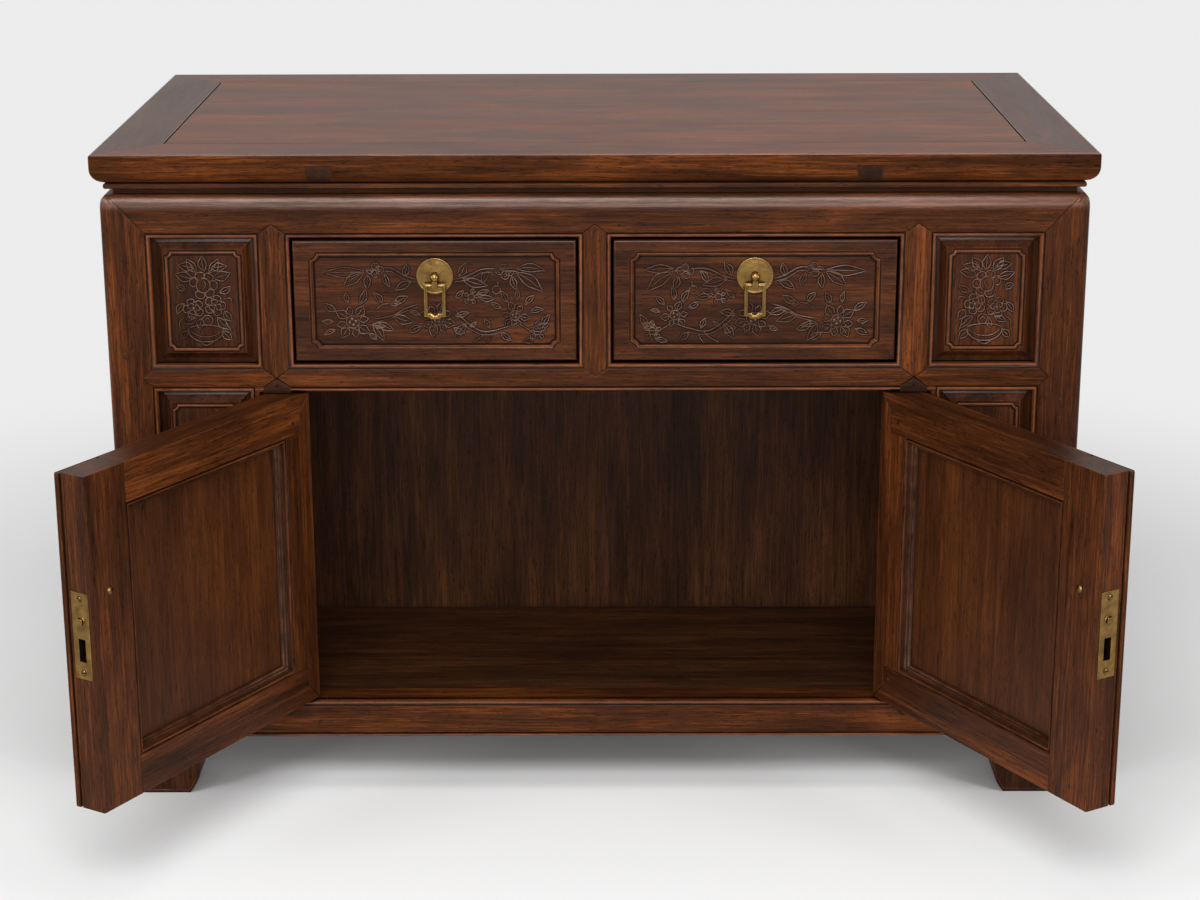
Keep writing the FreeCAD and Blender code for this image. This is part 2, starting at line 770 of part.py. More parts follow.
def make_foot(name, side, face_y, into, envelope):
    # Straight at the top, then curving in to a narrower toe, on both inner faces
    wide, toe = dim("foot_width"), dim("foot_toe_width")
    straight, curve = dim("foot_straight"), dim("foot_curve_radius")

    def foot_outline(outer, inward):
        bend = curve * inward
        corners = [(outer, as_size(0)), (outer, rail_bottom), (outer + inward * wide, rail_bottom)]
        corners += [(outer + inward * wide, straight, -bend), (outer + inward * toe, as_size(0))]
        return corners

    low_x = span(side, half_body - wide, half_body)[0]
    low_y = face_y if into > 0 else face_y - wide
    face = prism(f"{name}_face", "XZ", foot_outline(side * half_body, -side), low_y, wide)
    flank = prism(f"{name}_flank", "YZ", foot_outline(face_y, into), low_x, wide)
    block = common(f"{name}_block", [face, flank, envelope])
    half = dim("foot_tenon_side") / 2
    centre_x = side * (half_body - dim("post_width") / 2)
    centre_y = face_y + into * dim("post_width") / 2
    low = (centre_x - half, centre_y - half, rail_bottom)
    high = (centre_x + half, centre_y + half, rail_bottom + dim("foot_tenon_height"))
    tenon = box(f"{name}_tenon", low, high)
    return fuse(name, [block, tenon]), tenon


# Where the drawers stand: from the centre stile's edge to the side stile's edge
drawer_near = dim("centre_stile_width") / 2 + dim("drawer_gap_side")
drawer_far = stile_inner - dim("drawer_gap_side")
drawer_low = mid_top + dim("drawer_gap_bottom")
drawer_high = drawer_top - dim("drawer_gap_top")
side_near = drawer_near + dim("drawer_side_set_in")
side_far = drawer_far - dim("drawer_side_set_in")
side_low = mid_top + dim("running_gap")
box_front = front + dim("drawer_front_thickness")
box_back = front + dim("drawer_length")


def make_runners(runner_low):
    gap, shelf = dim("running_gap"), dim("runner_shelf")
    start, end = front + dim("rail_thickness"), back - dim("rail_thickness")
    guide_high = mid_top + dim("guide_height")
    pieces = []
    for side in (-1, 1):
        x = span(side, side_far - shelf, side_far + gap + dim("guide_width"))
        guide_x = span(side, side_far + gap, side_far + gap + dim("guide_width"))
        pieces.append(
            fuse(
                f"runner_{side + 1}",
                [
                    box("runner_shelf_board", (x[0], start, runner_low), (x[1], end, mid_top)),
                    box("runner_guide", (guide_x[0], start, mid_top), (guide_x[1], end, guide_high)),
                ],
            )
        )
    half = side_near + shelf
    centre_guide = side_near - gap
    shelf_board = box("centre_shelf_board", (-half, start, runner_low), (half, end, mid_top))
    guide = box("centre_guide", (-centre_guide, start, mid_top), (centre_guide, end, guide_high))
    pieces.append(fuse("centre_runner", [shelf_board, guide]))
    keep("drawer_runners", group("drawer_runners", pieces))


def make_drawer(side, name):
    x = span(side, drawer_near, drawer_far)
    margin, bevel = dim("drawer_field_margin"), dim("drawer_field_bevel")
    face = front + dim("drawer_field_depth")
    corners = [(x[0], drawer_low), (x[1], drawer_low), (x[1], drawer_high), (x[0], drawer_high)]
    board = prism(f"{name}_front_board", "XZ", corners, front, dim("drawer_front_thickness"))
    near_face = front.value
    round_edges(
        board, f"{name}_front_rounding", dim("drawer_edge_radius"), lambda m, d: abs(m.y - near_face) < 1e-6
    )
    # The carved field is sunk inside a plain margin, with sloping sides
    sunk = doc.addObject("Part::Wedge", f"{name}_field")
    wide, tall = x[1] - x[0] - margin * 2, drawer_high - drawer_low - margin * 2
    for corner in ("Xmin", "Zmin", "Ymin"):
        bind(sunk, corner, 0)
    bind(sunk, "Xmax", wide)
    bind(sunk, "Zmax", tall)
    bind(sunk, "Ymax", face - front)
    for letter, extent in (("X", wide), ("Z", tall)):
        bind(sunk, f"{letter}2min", bevel)
        bind(sunk, f"{letter}2max", extent - bevel)
    place_at(sunk, x[0] + margin, front, drawer_low + margin)

    sides_x = span(side, side_near, side_far)
    thick, height = dim("drawer_side_thickness"), side_low + dim("drawer_side_height")
    bottom_low = side_low + dim("drawer_bottom_lift")
    bottom_high = bottom_low + dim("drawer_bottom_thickness")
    reach, play = dim("drawer_bottom_reach"), dim("panel_play")
    inner = (sides_x[0] + thick, sides_x[1] - thick)
    low = (inner[0] - reach, box_front - reach, bottom_low)
    high = (inner[1] + reach, box_back, bottom_high)
    keep(f"{name}_bottom", box(f"{name}_bottom", low, high))
    groove = groove_for(f"{name}_bottom_groove", low, high)
    keep(f"{name}_front", cut(f"{name}_front", board, [sunk, groove]))
    boards = [
        box(f"{name}_side_a", (sides_x[0], box_front, side_low), (inner[0], box_back, height)),
        box(f"{name}_side_b", (inner[1], box_front, side_low), (sides_x[1], box_back, height)),
        box(f"{name}_back", (inner[0], box_back - thick, bottom_high + play), (inner[1], box_back, height)),
    ]
    cut_boards = [cut(f"{name}_box_{n}", item, [groove]) for n, item in enumerate(boards)]
    keep(f"{name}_box", group(f"{name}_box", cut_boards))
    pull_z = (drawer_low + drawer_high) / 2 + dim("drawer_pull_above_middle")
    centre = ((x[0] + x[1]) / 2, face, pull_z)
    plate, bail = make_pull(name)
    for label, item in ((f"{name}_pull", plate), (f"{name}_bail", bail)):
        place_at(keep(label, item), *centre)


def make_pull(name):
    # Drawn round the plate's centre, with the wood's face at Y zero and the room in front
    thick, stand = dim("plate_thickness"), dim("eye_stand_off")
    disc = cylinder(f"{name}_disc", (0, -thick, 0), (0, 1, 0), dim("plate_radius"), thick)
    boss_top = -thick - dim("boss_height")
    boss = cylinder(f"{name}_boss", (0, boss_top, 0), (0, 1, 0), dim("boss_radius"), dim("boss_height"))
    dome = doc.addObject("Part::Sphere", f"{name}_dome")
    bind(dome, "Radius", dim("boss_radius"))
    place_at(dome, 0, boss_top, 0)
    drop, half = -dim("eye_drop"), dim("eye_width") / 2
    eye = cylinder(f"{name}_eye", (-half, -stand, drop), (1, 0, 0), dim("eye_radius"), dim("eye_width"))
    neck_half = dim("eye_radius") - dim("bar_radius") / 2
    neck = box(f"{name}_neck", (-half, -stand, drop - neck_half), (half, -thick / 2, drop + neck_half))
    bore_radius = dim("bar_radius") + dim("bar_fit")
    bore = cylinder(f"{name}_bore", (-half * 2, -stand, drop), (1, 0, 0), bore_radius, half * 4)
    plate = cut(f"{name}_plate", fuse(f"{name}_plate_blank", [disc, boss, dome, eye, neck]), [bore])

    frame, wide = dim("bail_frame"), dim("bail_width") / 2
    deep = dim("bail_thickness") / 2
    high = drop + frame / 2
    low = high - dim("bail_height")
    outer = box(f"{name}_bail_outer", (-wide, -stand - deep, low), (wide, deep - stand, high))
    window = box(
        f"{name}_bail_window",
        (frame - wide, -stand - deep * 2, low + frame),
        (wide - frame, deep * 2 - stand, high - frame),
    )
    mouth = dim("bail_mouth") / 2
    gap = box(
        f"{name}_bail_gap",
        (-mouth, -stand - deep * 2, high - frame * 2),
        (mouth, deep * 2 - stand, high + frame),
    )
    bar = cylinder(f"{name}_bail_bar", (-mouth * 2, -stand, drop), (1, 0, 0), dim("bar_radius"), mouth * 4)
    bar_trim = box(
        f"{name}_bar_trim",
        (-mouth * 2, -stand - frame, drop - frame),
        (mouth * 2, frame - stand, drop + frame),
    )
    bar_kept = common(f"{name}_bar_kept", [bar, bar_trim])
    bail = fuse(f"{name}_bail_solid", [cut(f"{name}_bail_frame", outer, [window, gap]), bar_kept])
    return plate, bail


def make_door(side, name):
    # Drawn closed round its pivot: a runs to the free edge, b runs in from the outer face
    def across(near, far):
        return (near, far) if side < 0 else (-far, -near)

    outer, inner = -dim("pivot_set_back"), dim("door_thickness") - dim("pivot_set_back")
    low_z = floor_level + dim("door_gap_bottom")
    high_z = mid_bottom - dim("door_gap_top")
    hinge_a = -pivot_from_edge
    hinge_inner = hinge_a + dim("hinge_stile_width")
    lip_a = door_reach
    edge_a = lip_a - dim("door_lip_reach")
    free_inner = lip_a - dim("free_stile_width")
    tongue, play = dim("door_panel_tongue"), dim("panel_play")

    def block(label, a, b, z):
        x = across(*a)
        return box(label, (x[0], b[0], z[0]), (x[1], b[1], z[1]))

    board_face = outer + dim("door_panel_set_back")
    board_b = (board_face, board_face + dim("door_panel_thickness"))
    rail_z = (low_z + dim("door_rail_height"), high_z - dim("door_rail_height"))
    board_x = across(hinge_inner - tongue, free_inner + tongue)
    board_low = (board_x[0], board_b[0], rail_z[0] - tongue)
    board_high = (board_x[1], board_b[1], rail_z[1] + tongue)
    rise = dim("door_panel_set_back") - dim("door_panel_field_set_back")
    panel = panel_board(
        f"{name}_panel", board_low, board_high, (1, -1), dim("door_panel_bevel"), rise, tongue
    )
    groove = groove_for(f"{name}_panel_groove", board_low, board_high)

    hinge_x = across(hinge_a, hinge_inner)
    corners = [(hinge_x[0], outer), (hinge_x[1], outer), (hinge_x[1], inner), (hinge_x[0], inner)]
    stile_blank = prism(f"{name}_hinge_stile_blank", "XY", corners, low_z, high_z - low_z)
    edge_x, face_y = (hinge_x[0] if side < 0 else hinge_x[1]).value, outer.value
    round_edges(
        stile_blank,
        f"{name}_hinge_rounding",
        dim("door_corner_radius"),
        lambda m, d: abs(d.z) > 1 - 1e-6 and abs(m.x - edge_x) < 1e-6 and abs(m.y - face_y) < 1e-6,
    )
    reach, radius = dim("pivot_length"), dim("pivot_radius")
    top_gap, bottom_gap = dim("door_gap_top"), dim("door_gap_bottom")
    low_start = low_z - reach - bottom_gap
    pins = [
        cylinder(f"{name}_upper_pin", (0, 0, high_z - reach), (0, 0, 1), radius, reach * 2 + top_gap),
        cylinder(f"{name}_lower_pin", (0, 0, low_start), (0, 0, 1), radius, reach * 2 + bottom_gap),
    ]
    stile_body = cut(f"{name}_hinge_stile_cut", stile_blank, [groove])
    hinge_stile = fuse(f"{name}_hinge_stile_solid", [stile_body] + pins)

    # The free stile carries the lip that hides the gap between the doors, and the lock
    body = block(f"{name}_free_body", (free_inner, edge_a), (outer, inner), (low_z, high_z))
    lip = block(f"{name}_lip", (edge_a, lip_a), (outer, outer + dim("door_lip_thickness")), (low_z, high_z))
    plate_b = (outer + inner + dim("door_lip_thickness")) / 2
    middle = (low_z + high_z) / 2
    plate_half, plate_z = dim("lock_plate_width") / 2, middle + dim("lock_plate_above_middle")
    plate_tall, plate_thick = dim("lock_plate_length") / 2, dim("lock_plate_thickness")
    plate_blank = block(
        f"{name}_lock_blank",
        (edge_a - plate_thick, edge_a),
        (plate_b - plate_half, plate_b + plate_half),
        (plate_z - plate_tall, plate_z + plate_tall),
    )
    stud_z, stud_half = plate_z + dim("lock_stud_rise"), dim("lock_stud_side") / 2
    stud_end = edge_a + dim("lock_stud_proud")
    stud_start, fit = stud_end - dim("lock_stud_length") - dim("lock_stud_proud"), dim("lock_stud_fit")
    stud = block(
        f"{name}_stud_solid",
        (stud_start, stud_end),
        (plate_b - stud_half, plate_b + stud_half),
        (stud_z - stud_half, stud_z + stud_half),
    )
    hole_half = stud_half + fit
    stud_hole = block(
        f"{name}_stud_hole",
        (stud_start - dim("lock_stud_proud") - fit, lip_a),
        (plate_b - hole_half, plate_b + hole_half),
        (stud_z - hole_half, stud_z + hole_half),
    )
    slot_z, slot_half = plate_z - dim("lock_slot_drop"), dim("lock_slot_height") / 2
    slot_wide = dim("lock_slot_width") / 2
    slot = block(
        f"{name}_slot",
        (edge_a - dim("lock_slot_depth"), lip_a),
        (plate_b - slot_wide, plate_b + slot_wide),
        (slot_z - slot_half, slot_z + slot_half),
    )
    screws = []
    screw_radius, screw_height = dim("lock_screw_radius"), dim("lock_screw_height")
    for end in (-1, 1):
        screw_z = plate_z + end * (plate_tall - dim("lock_screw_inset"))
        seat = (across(edge_a, edge_a + screw_height)[0], plate_b, screw_z)
        screws.append(
            cylinder(f"{name}_screw_{end + 1}", seat, (1, 0, 0), screw_radius, screw_height)
        )
    lock = group(f"{name}_lock_parts", [cut(f"{name}_lock_cut", plate_blank, [stud_hole, slot])] + screws)
    free_blank = fuse(f"{name}_free_blank", [body, lip])
    free_stile = cut(f"{name}_free_cut", free_blank, [groove, plate_blank, stud_hole, slot])

    rails = []
    for row_name, span_z in (("low", (low_z, rail_z[0])), ("high", (rail_z[1], high_z))):
        rail = block(f"{name}_{row_name}_rail", (hinge_inner, free_inner), (outer, inner), span_z)
        rails.append(cut(f"{name}_{row_name}_rail_cut", rail, [groove]))

    pull_x = across(lip_a - dim("door_pull_inset"), lip_a - dim("door_pull_inset"))[0]
    plate, bail = make_pull(name)
    pull_z = middle + dim("door_pull_above_middle")
    clenched = (pull_x, inner, pull_z)
    rivet_radius, rivet_height = dim("rivet_radius"), dim("rivet_height")
    rivet = cylinder(f"{name}_rivet", clenched, (0, 1, 0), rivet_radius, rivet_height)
    pull_seat = (pull_x, outer, pull_z)
    for item in (plate, bail):
        place_at(item, *pull_seat)
    pull = group(f"{name}_pull_parts", [plate, rivet])

    pieces = {
        f"{name}_hinge_stile": hinge_stile,
        f"{name}_free_stile": free_stile,
        f"{name}_rails": group(f"{name}_rail_pair", rails),
        f"{name}_panel": panel,
        f"{name}_lock_plate": lock,
        f"{name}_lock_stud": stud,
        f"{name}_pull": pull,
        f"{name}_bail": bail,
    }
    for label, piece in pieces.items():
        swung = group(f"{label}_swung", [piece])
        swung.Placement.Rotation = Rotation(Vector(0, 0, side), open_angle.value)
        bind(swung, "Placement.Rotation.Angle", open_angle)
        place_at(swung, side * stile_centre, pivot_y, 0)
        keep(label, swung)


make_top()
make_carcass()
for drawer_side, drawer_name in ((-1, "left_drawer"), (1, "right_drawer")):
    make_drawer(drawer_side, drawer_name)
for door_side, door_name in ((-1, "left_door"), (1, "right_door")):
    make_door(door_side, door_name)
doc.recompute()

for item in doc.Objects:
    if "Invalid" in item.State or "Error" in item.State:
        raise RuntimeError(f"{item.Name} failed to build: {item.State}")
for label, item in nodes.items():
    if item.Shape.isNull() or not item.Shape.isValid():
        raise RuntimeError(f"{label} has no valid shape")

os.makedirs("parts", exist_ok=True)
for label, item in nodes.items():
    item.Shape.exportStep(f"parts/{label}.step")
print("nodes", len(nodes), "front face at", round(front.value, 3), "top at", round(top_level.value, 3))
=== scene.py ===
import json
import math
import random

import bmesh
import bpy
from mathutils import Matrix, Vector


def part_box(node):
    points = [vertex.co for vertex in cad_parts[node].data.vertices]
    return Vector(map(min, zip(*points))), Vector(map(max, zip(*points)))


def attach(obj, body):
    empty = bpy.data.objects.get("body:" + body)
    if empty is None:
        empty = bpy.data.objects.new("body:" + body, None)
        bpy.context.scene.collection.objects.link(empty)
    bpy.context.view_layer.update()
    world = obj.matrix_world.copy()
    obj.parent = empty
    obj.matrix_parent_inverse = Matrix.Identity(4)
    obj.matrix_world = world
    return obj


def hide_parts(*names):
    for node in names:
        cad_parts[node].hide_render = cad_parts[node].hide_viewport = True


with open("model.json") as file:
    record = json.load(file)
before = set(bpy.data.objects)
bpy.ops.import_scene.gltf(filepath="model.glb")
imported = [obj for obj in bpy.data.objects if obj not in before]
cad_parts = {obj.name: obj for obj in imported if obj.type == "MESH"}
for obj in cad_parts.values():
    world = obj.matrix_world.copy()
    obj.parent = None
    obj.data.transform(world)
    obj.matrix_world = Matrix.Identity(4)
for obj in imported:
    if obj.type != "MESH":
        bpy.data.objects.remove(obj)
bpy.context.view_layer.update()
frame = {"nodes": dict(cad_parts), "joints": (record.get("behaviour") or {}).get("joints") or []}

scene = bpy.context.scene
scene.view_settings.view_transform = "Standard"

# The photo's viewpoint, with its angles in degrees
view = {"place": (0.01356, -2.86753, 1.25593), "pitch": 17.0004, "yaw": -0.1759, "roll": -0.1611, "lens": 76.267}


def makeCamera():
    pitch, yaw, roll = (math.radians(view[k]) for k in ("pitch", "yaw", "roll"))
    ahead = Vector((math.sin(yaw) * math.cos(pitch), math.cos(yaw) * math.cos(pitch), -math.sin(pitch)))
    level = Vector((math.cos(yaw), -math.sin(yaw), 0))
    over = level.cross(ahead)
    right = level * math.cos(roll) + over * math.sin(roll)
    up = over * math.cos(roll) - level * math.sin(roll)
    data = bpy.data.cameras.new("photoCamera")
    data.lens, data.sensor_width, data.sensor_fit, data.clip_end = view["lens"], 36, "HORIZONTAL", 60
    camera = bpy.data.objects.new("photoCamera", data)
    camera.matrix_world = Matrix.Translation(view["place"]) @ Matrix((right, up, -ahead)).transposed().to_4x4()
    scene.collection.objects.link(camera)
    scene.camera = camera


class Shader:
    # Adds nodes to one tree; an input given a socket is linked to it, and any other is set
    def __init__(self, tree):
        self.tree, self.nodes, self.links = tree, tree.nodes, tree.links

    def feed(self, node, inputs):
        for name, value in inputs.items():
            if isinstance(value, bpy.types.NodeSocket):
                self.links.new(value, node.inputs[name])
            else:
                node.inputs[name].default_value = value

    def add(self, kind, inputs=None, **settings):
        node = self.nodes.new("ShaderNode" + kind)
        for name, value in settings.items():
            setattr(node, name, value)
        self.feed(node, inputs or {})
        return node

    def reckon(self, operation, *values):
        return self.add("Math", dict(enumerate(values)), operation=operation).outputs[0]

    def ramp(self, value, start=0, end=1, low=0, high=1, shape="LINEAR"):
        inputs = {"Value": value, "From Min": start, "From Max": end, "To Min": low, "To Max": high}
        return self.add("MapRange", inputs, interpolation_type=shape).outputs[0]

    def mix(self, factor, first, second, blend="MIX"):
        inputs = {"Factor": factor, "A": first, "B": second}
        return self.add("Mix", inputs, data_type="RGBA", blend_type=blend).outputs["Result"]

    def noise(self, where, scale, detail, **more):
        inputs = {"Vector": where, "Scale": scale, "Detail": detail} | more
        return self.add("TexNoise", inputs).outputs["Fac"]

    def bump(self, height, strength, distance):
        return self.add("Bump", {"Height": height, "Strength": strength, "Distance": distance}).outputs[0]

    def group(self, tree, where, inputs=None):
        return self.add("Group", {"Place": where} | (inputs or {}), node_tree=tree).outputs


def newMaterial(name):
    material = bpy.data.materials.new(name)
    material.use_nodes = True
    tool = Shader(material.node_tree)
    return material, tool, tool.nodes["Principled BSDF"]


def newGroup(name, takes, gives):
    # takes and gives hold each socket's kind, with its default where it has one
    group = bpy.data.node_groups.new(name, "ShaderNodeTree")
    for way, sockets in (("INPUT", takes), ("OUTPUT", gives)):
        for label, (kind, *default) in sockets.items():
            socket = group.interface.new_socket(name=label, in_out=way, socket_type="NodeSocket" + kind)
            if default:
                socket.default_value = default[0]
    tool = Shader(group)
    return tool, tool.nodes.new("NodeGroupInput").outputs, tool.nodes.new("NodeGroupOutput")


studio = {
    "lamps": {      # place, size, power, what it is aimed at
        "keySoftbox": ((-0.3, -3.0, 2.95), (2.4, 1.2), 84, (0, -0.1, 0.5)),
        "overheadSoftbox": ((0.1, -0.75, 3.1), (2.6, 0.8), 16, (0, -0.2, 0.3)),
        "leftSoftbox": ((-3.7, -2.8, 1.5), (1.2, 1.8), 64, (0.2, -0.25, 0.35)),
        "rightSoftbox": ((3.7, -2.8, 1.5), (1.2, 1.8), 64, (-0.2, -0.25, 0.35)),
        "lowSoftbox": ((0, -5.2, 1.5), (2.8, 1.0), 72, (0, -0.3, 0.0)),
    },
    "worldLight": 0.33,
    "paper": 0.84,           # the pale background, as the camera and the glossy parts see it
    "floorTone": 0.90,
    "floorSize": 60,
    "fade": (0.75, 1.9),     # the floor turns into plain paper between these distances
}


def seenDirectly(tool):
    # 1 where the camera, or a reflection, sees the background
    path = tool.add("LightPath").outputs
    seen = path["Is Camera Ray"]
    for name in ("Is Glossy Ray", "Is Transmission Ray"):
        seen = tool.reckon("MAXIMUM", seen, path[name])
    return seen


def makeStudio():
    for name, (place, size, power, target) in studio["lamps"].items():
        data = bpy.data.lights.new(name, "AREA")
        data.shape, data.energy = "RECTANGLE", power
        data.size, data.size_y = size
        lamp = bpy.data.objects.new(name, data)
        lamp.location = place
        lamp.rotation_euler = (Vector(target) - Vector(place)).to_track_quat("-Z", "Y").to_euler()
        scene.collection.objects.link(lamp)

    world = bpy.data.worlds.new("paleStudio")
    scene.world = world
    world.use_nodes = True
    tool = Shader(world.node_tree)
    tool.nodes.clear()
    white = {"Color": (1, 1, 1, 1)}
    dim, paper = (tool.add("Background", white | {"Strength": studio[k]}) for k in ("worldLight", "paper"))
    mix = tool.add("MixShader", {0: seenDirectly(tool), 1: dim.outputs[0], 2: paper.outputs[0]})
    tool.add("OutputWorld", {0: mix.outputs[0]})

    bm = bmesh.new()
    bmesh.ops.create_grid(bm, x_segments=1, y_segments=1, size=studio["floorSize"] / 2)
    mesh = bpy.data.meshes.new("paleFloor")
    bm.to_mesh(mesh)
    bm.free()
    floor = bpy.data.objects.new("paleFloor", mesh)
    scene.collection.objects.link(floor)
    material, tool, shader = newMaterial("paleFloor")
    tone = studio["floorTone"]
    tool.feed(shader, {"Base Color": (tone, tone, tone, 1), "Roughness": 0.95, "Specular IOR Level": 0})
    # Far from the cabinet the lit floor becomes plain paper, so the background stays even
    away = tool.add("VectorMath", {0: tool.add("TexCoord").outputs["Object"]}, operation="LENGTH")
    fade = tool.ramp(away.outputs["Value"], *studio["fade"], shape="SMOOTHSTEP")
    glow = tool.add("Emission", white | {"Strength": studio["paper"]})
    share = tool.reckon("MULTIPLY", fade, seenDirectly(tool))
    mix = tool.add("MixShader", {0: share, 1: shader.outputs[0], 2: glow.outputs[0]})
    tool.feed(tool.nodes["Material Output"], {"Surface": mix.outputs[0]})
    mesh.materials.append(material)


makeCamera()
makeStudio()
print("camera and studio ready")

grainNoises = {      # how fine along the grain and across it, detail, distortion, roughness
    "cloud": (5, 14, 3, 0.5, 0.55),
    "broad": (3, 46, 3, 0.9, 0.55),
    "streak": (8, 250, 4, 1.5, 0.58),
    "fibre": (36, 820, 3, 0.5, 0.6),
    "pores": (95, 1250, 2, 0.3, 0.55),
    "fleck": (70, 520, 3, 1.4, 0.6),
}


def makeGrainGroup():
    # Long streaks, fibres and pores that run along X of the vector put in
    tool, into, out = newGroup(
        "hardwoodGrain", {"Place": ["Vector"], "Dark": ["Color"], "Middle": ["Color"], "Light": ["Color"]},
        {"Color": ["Color"], "Gloss": ["Float"], "Height": ["Float"]})

    def blend(*parts):
        total = 0
        for value, share in parts:
            total = tool.reckon("MULTIPLY_ADD", value, share, total)
        return total

    found = []
    for along, across, detail, distortion, rough in grainNoises.values():
        place = tool.add("Mapping", {"Vector": into["Place"], "Scale": (along, across, across)}).outputs[0]
        found.append(tool.noise(place, 1, detail, Roughness=rough, Distortion=distortion))
    cloud, broad, streak, fibre, pores, fleck = found
    spread = tool.ramp(blend((cloud, 0.24), (broad, 0.26), (streak, 0.30), (fibre, 0.20)), 0.41, 0.61)
    tone = tool.mix(tool.ramp(spread, 0, 0.5), into["Dark"], into["Middle"])
    tone = tool.mix(tool.ramp(spread, 0.5, 1), tone, into["Light"])
    pit = tool.ramp(fleck, 0.36, 0.44, 0.42)
    tool.feed(out, {
        "Color": tool.mix(1, tone, pit, "MULTIPLY"),
        "Gloss": tool.ramp(blend((broad, 0.5), (fibre, 0.5)), 0.3, 0.7),
        "Height": blend((fibre, 0.35), (pores, 0.25), (pit, 0.4)),
    })
    return tool.tree


def makeWearGroup():
    # White on sharp outside edges, where hands and cloths have thinned the lacquer
    tool, into, out = newGroup("edgeWear", {"Place": ["Vector"], "Reach": ["Float", 0.0012]}, {"Mask": ["Float"]})
    soft = tool.add("Bevel", {"Radius": into["Reach"]}, samples=4).outputs[0]
    flat = tool.add("NewGeometry").outputs["True Normal"]
    turn = tool.add("VectorMath", {0: soft, 1: flat}, operation="DOT_PRODUCT").outputs["Value"]
    patch = tool.ramp(tool.noise(into["Place"], 55, 3), 0.38, 0.62)
    tool.feed(out, {"Mask": tool.reckon("MULTIPLY", tool.ramp(turn, 0.99, 0.8), patch)})
    return tool.tree


def makeShadeAndGrimeGroup():
    # White in the corners and grooves, after ambient occlusion: painted shade on the woods, patina in the brass's
    # hollows
    tool, into, out = newGroup("hollowShadeAndGrime", {"Place": ["Vector"], "Reach": ["Float", 0.008]}, {"Mask": ["Float"]})
    hollow = tool.add("AmbientOcclusion", {"Distance": into["Reach"]}, samples=5).outputs["AO"]
    uneven = tool.reckon("MULTIPLY_ADD", tool.noise(into["Place"], 38, 4), 0.3, hollow)
    tool.feed(out, {"Mask": tool.ramp(uneven, 1.06, 0.62)})
    return tool.tree


grainGroup, wearGroup, shadeAndGrimeGroup = makeGrainGroup(), makeWearGroup(), makeShadeAndGrimeGroup()

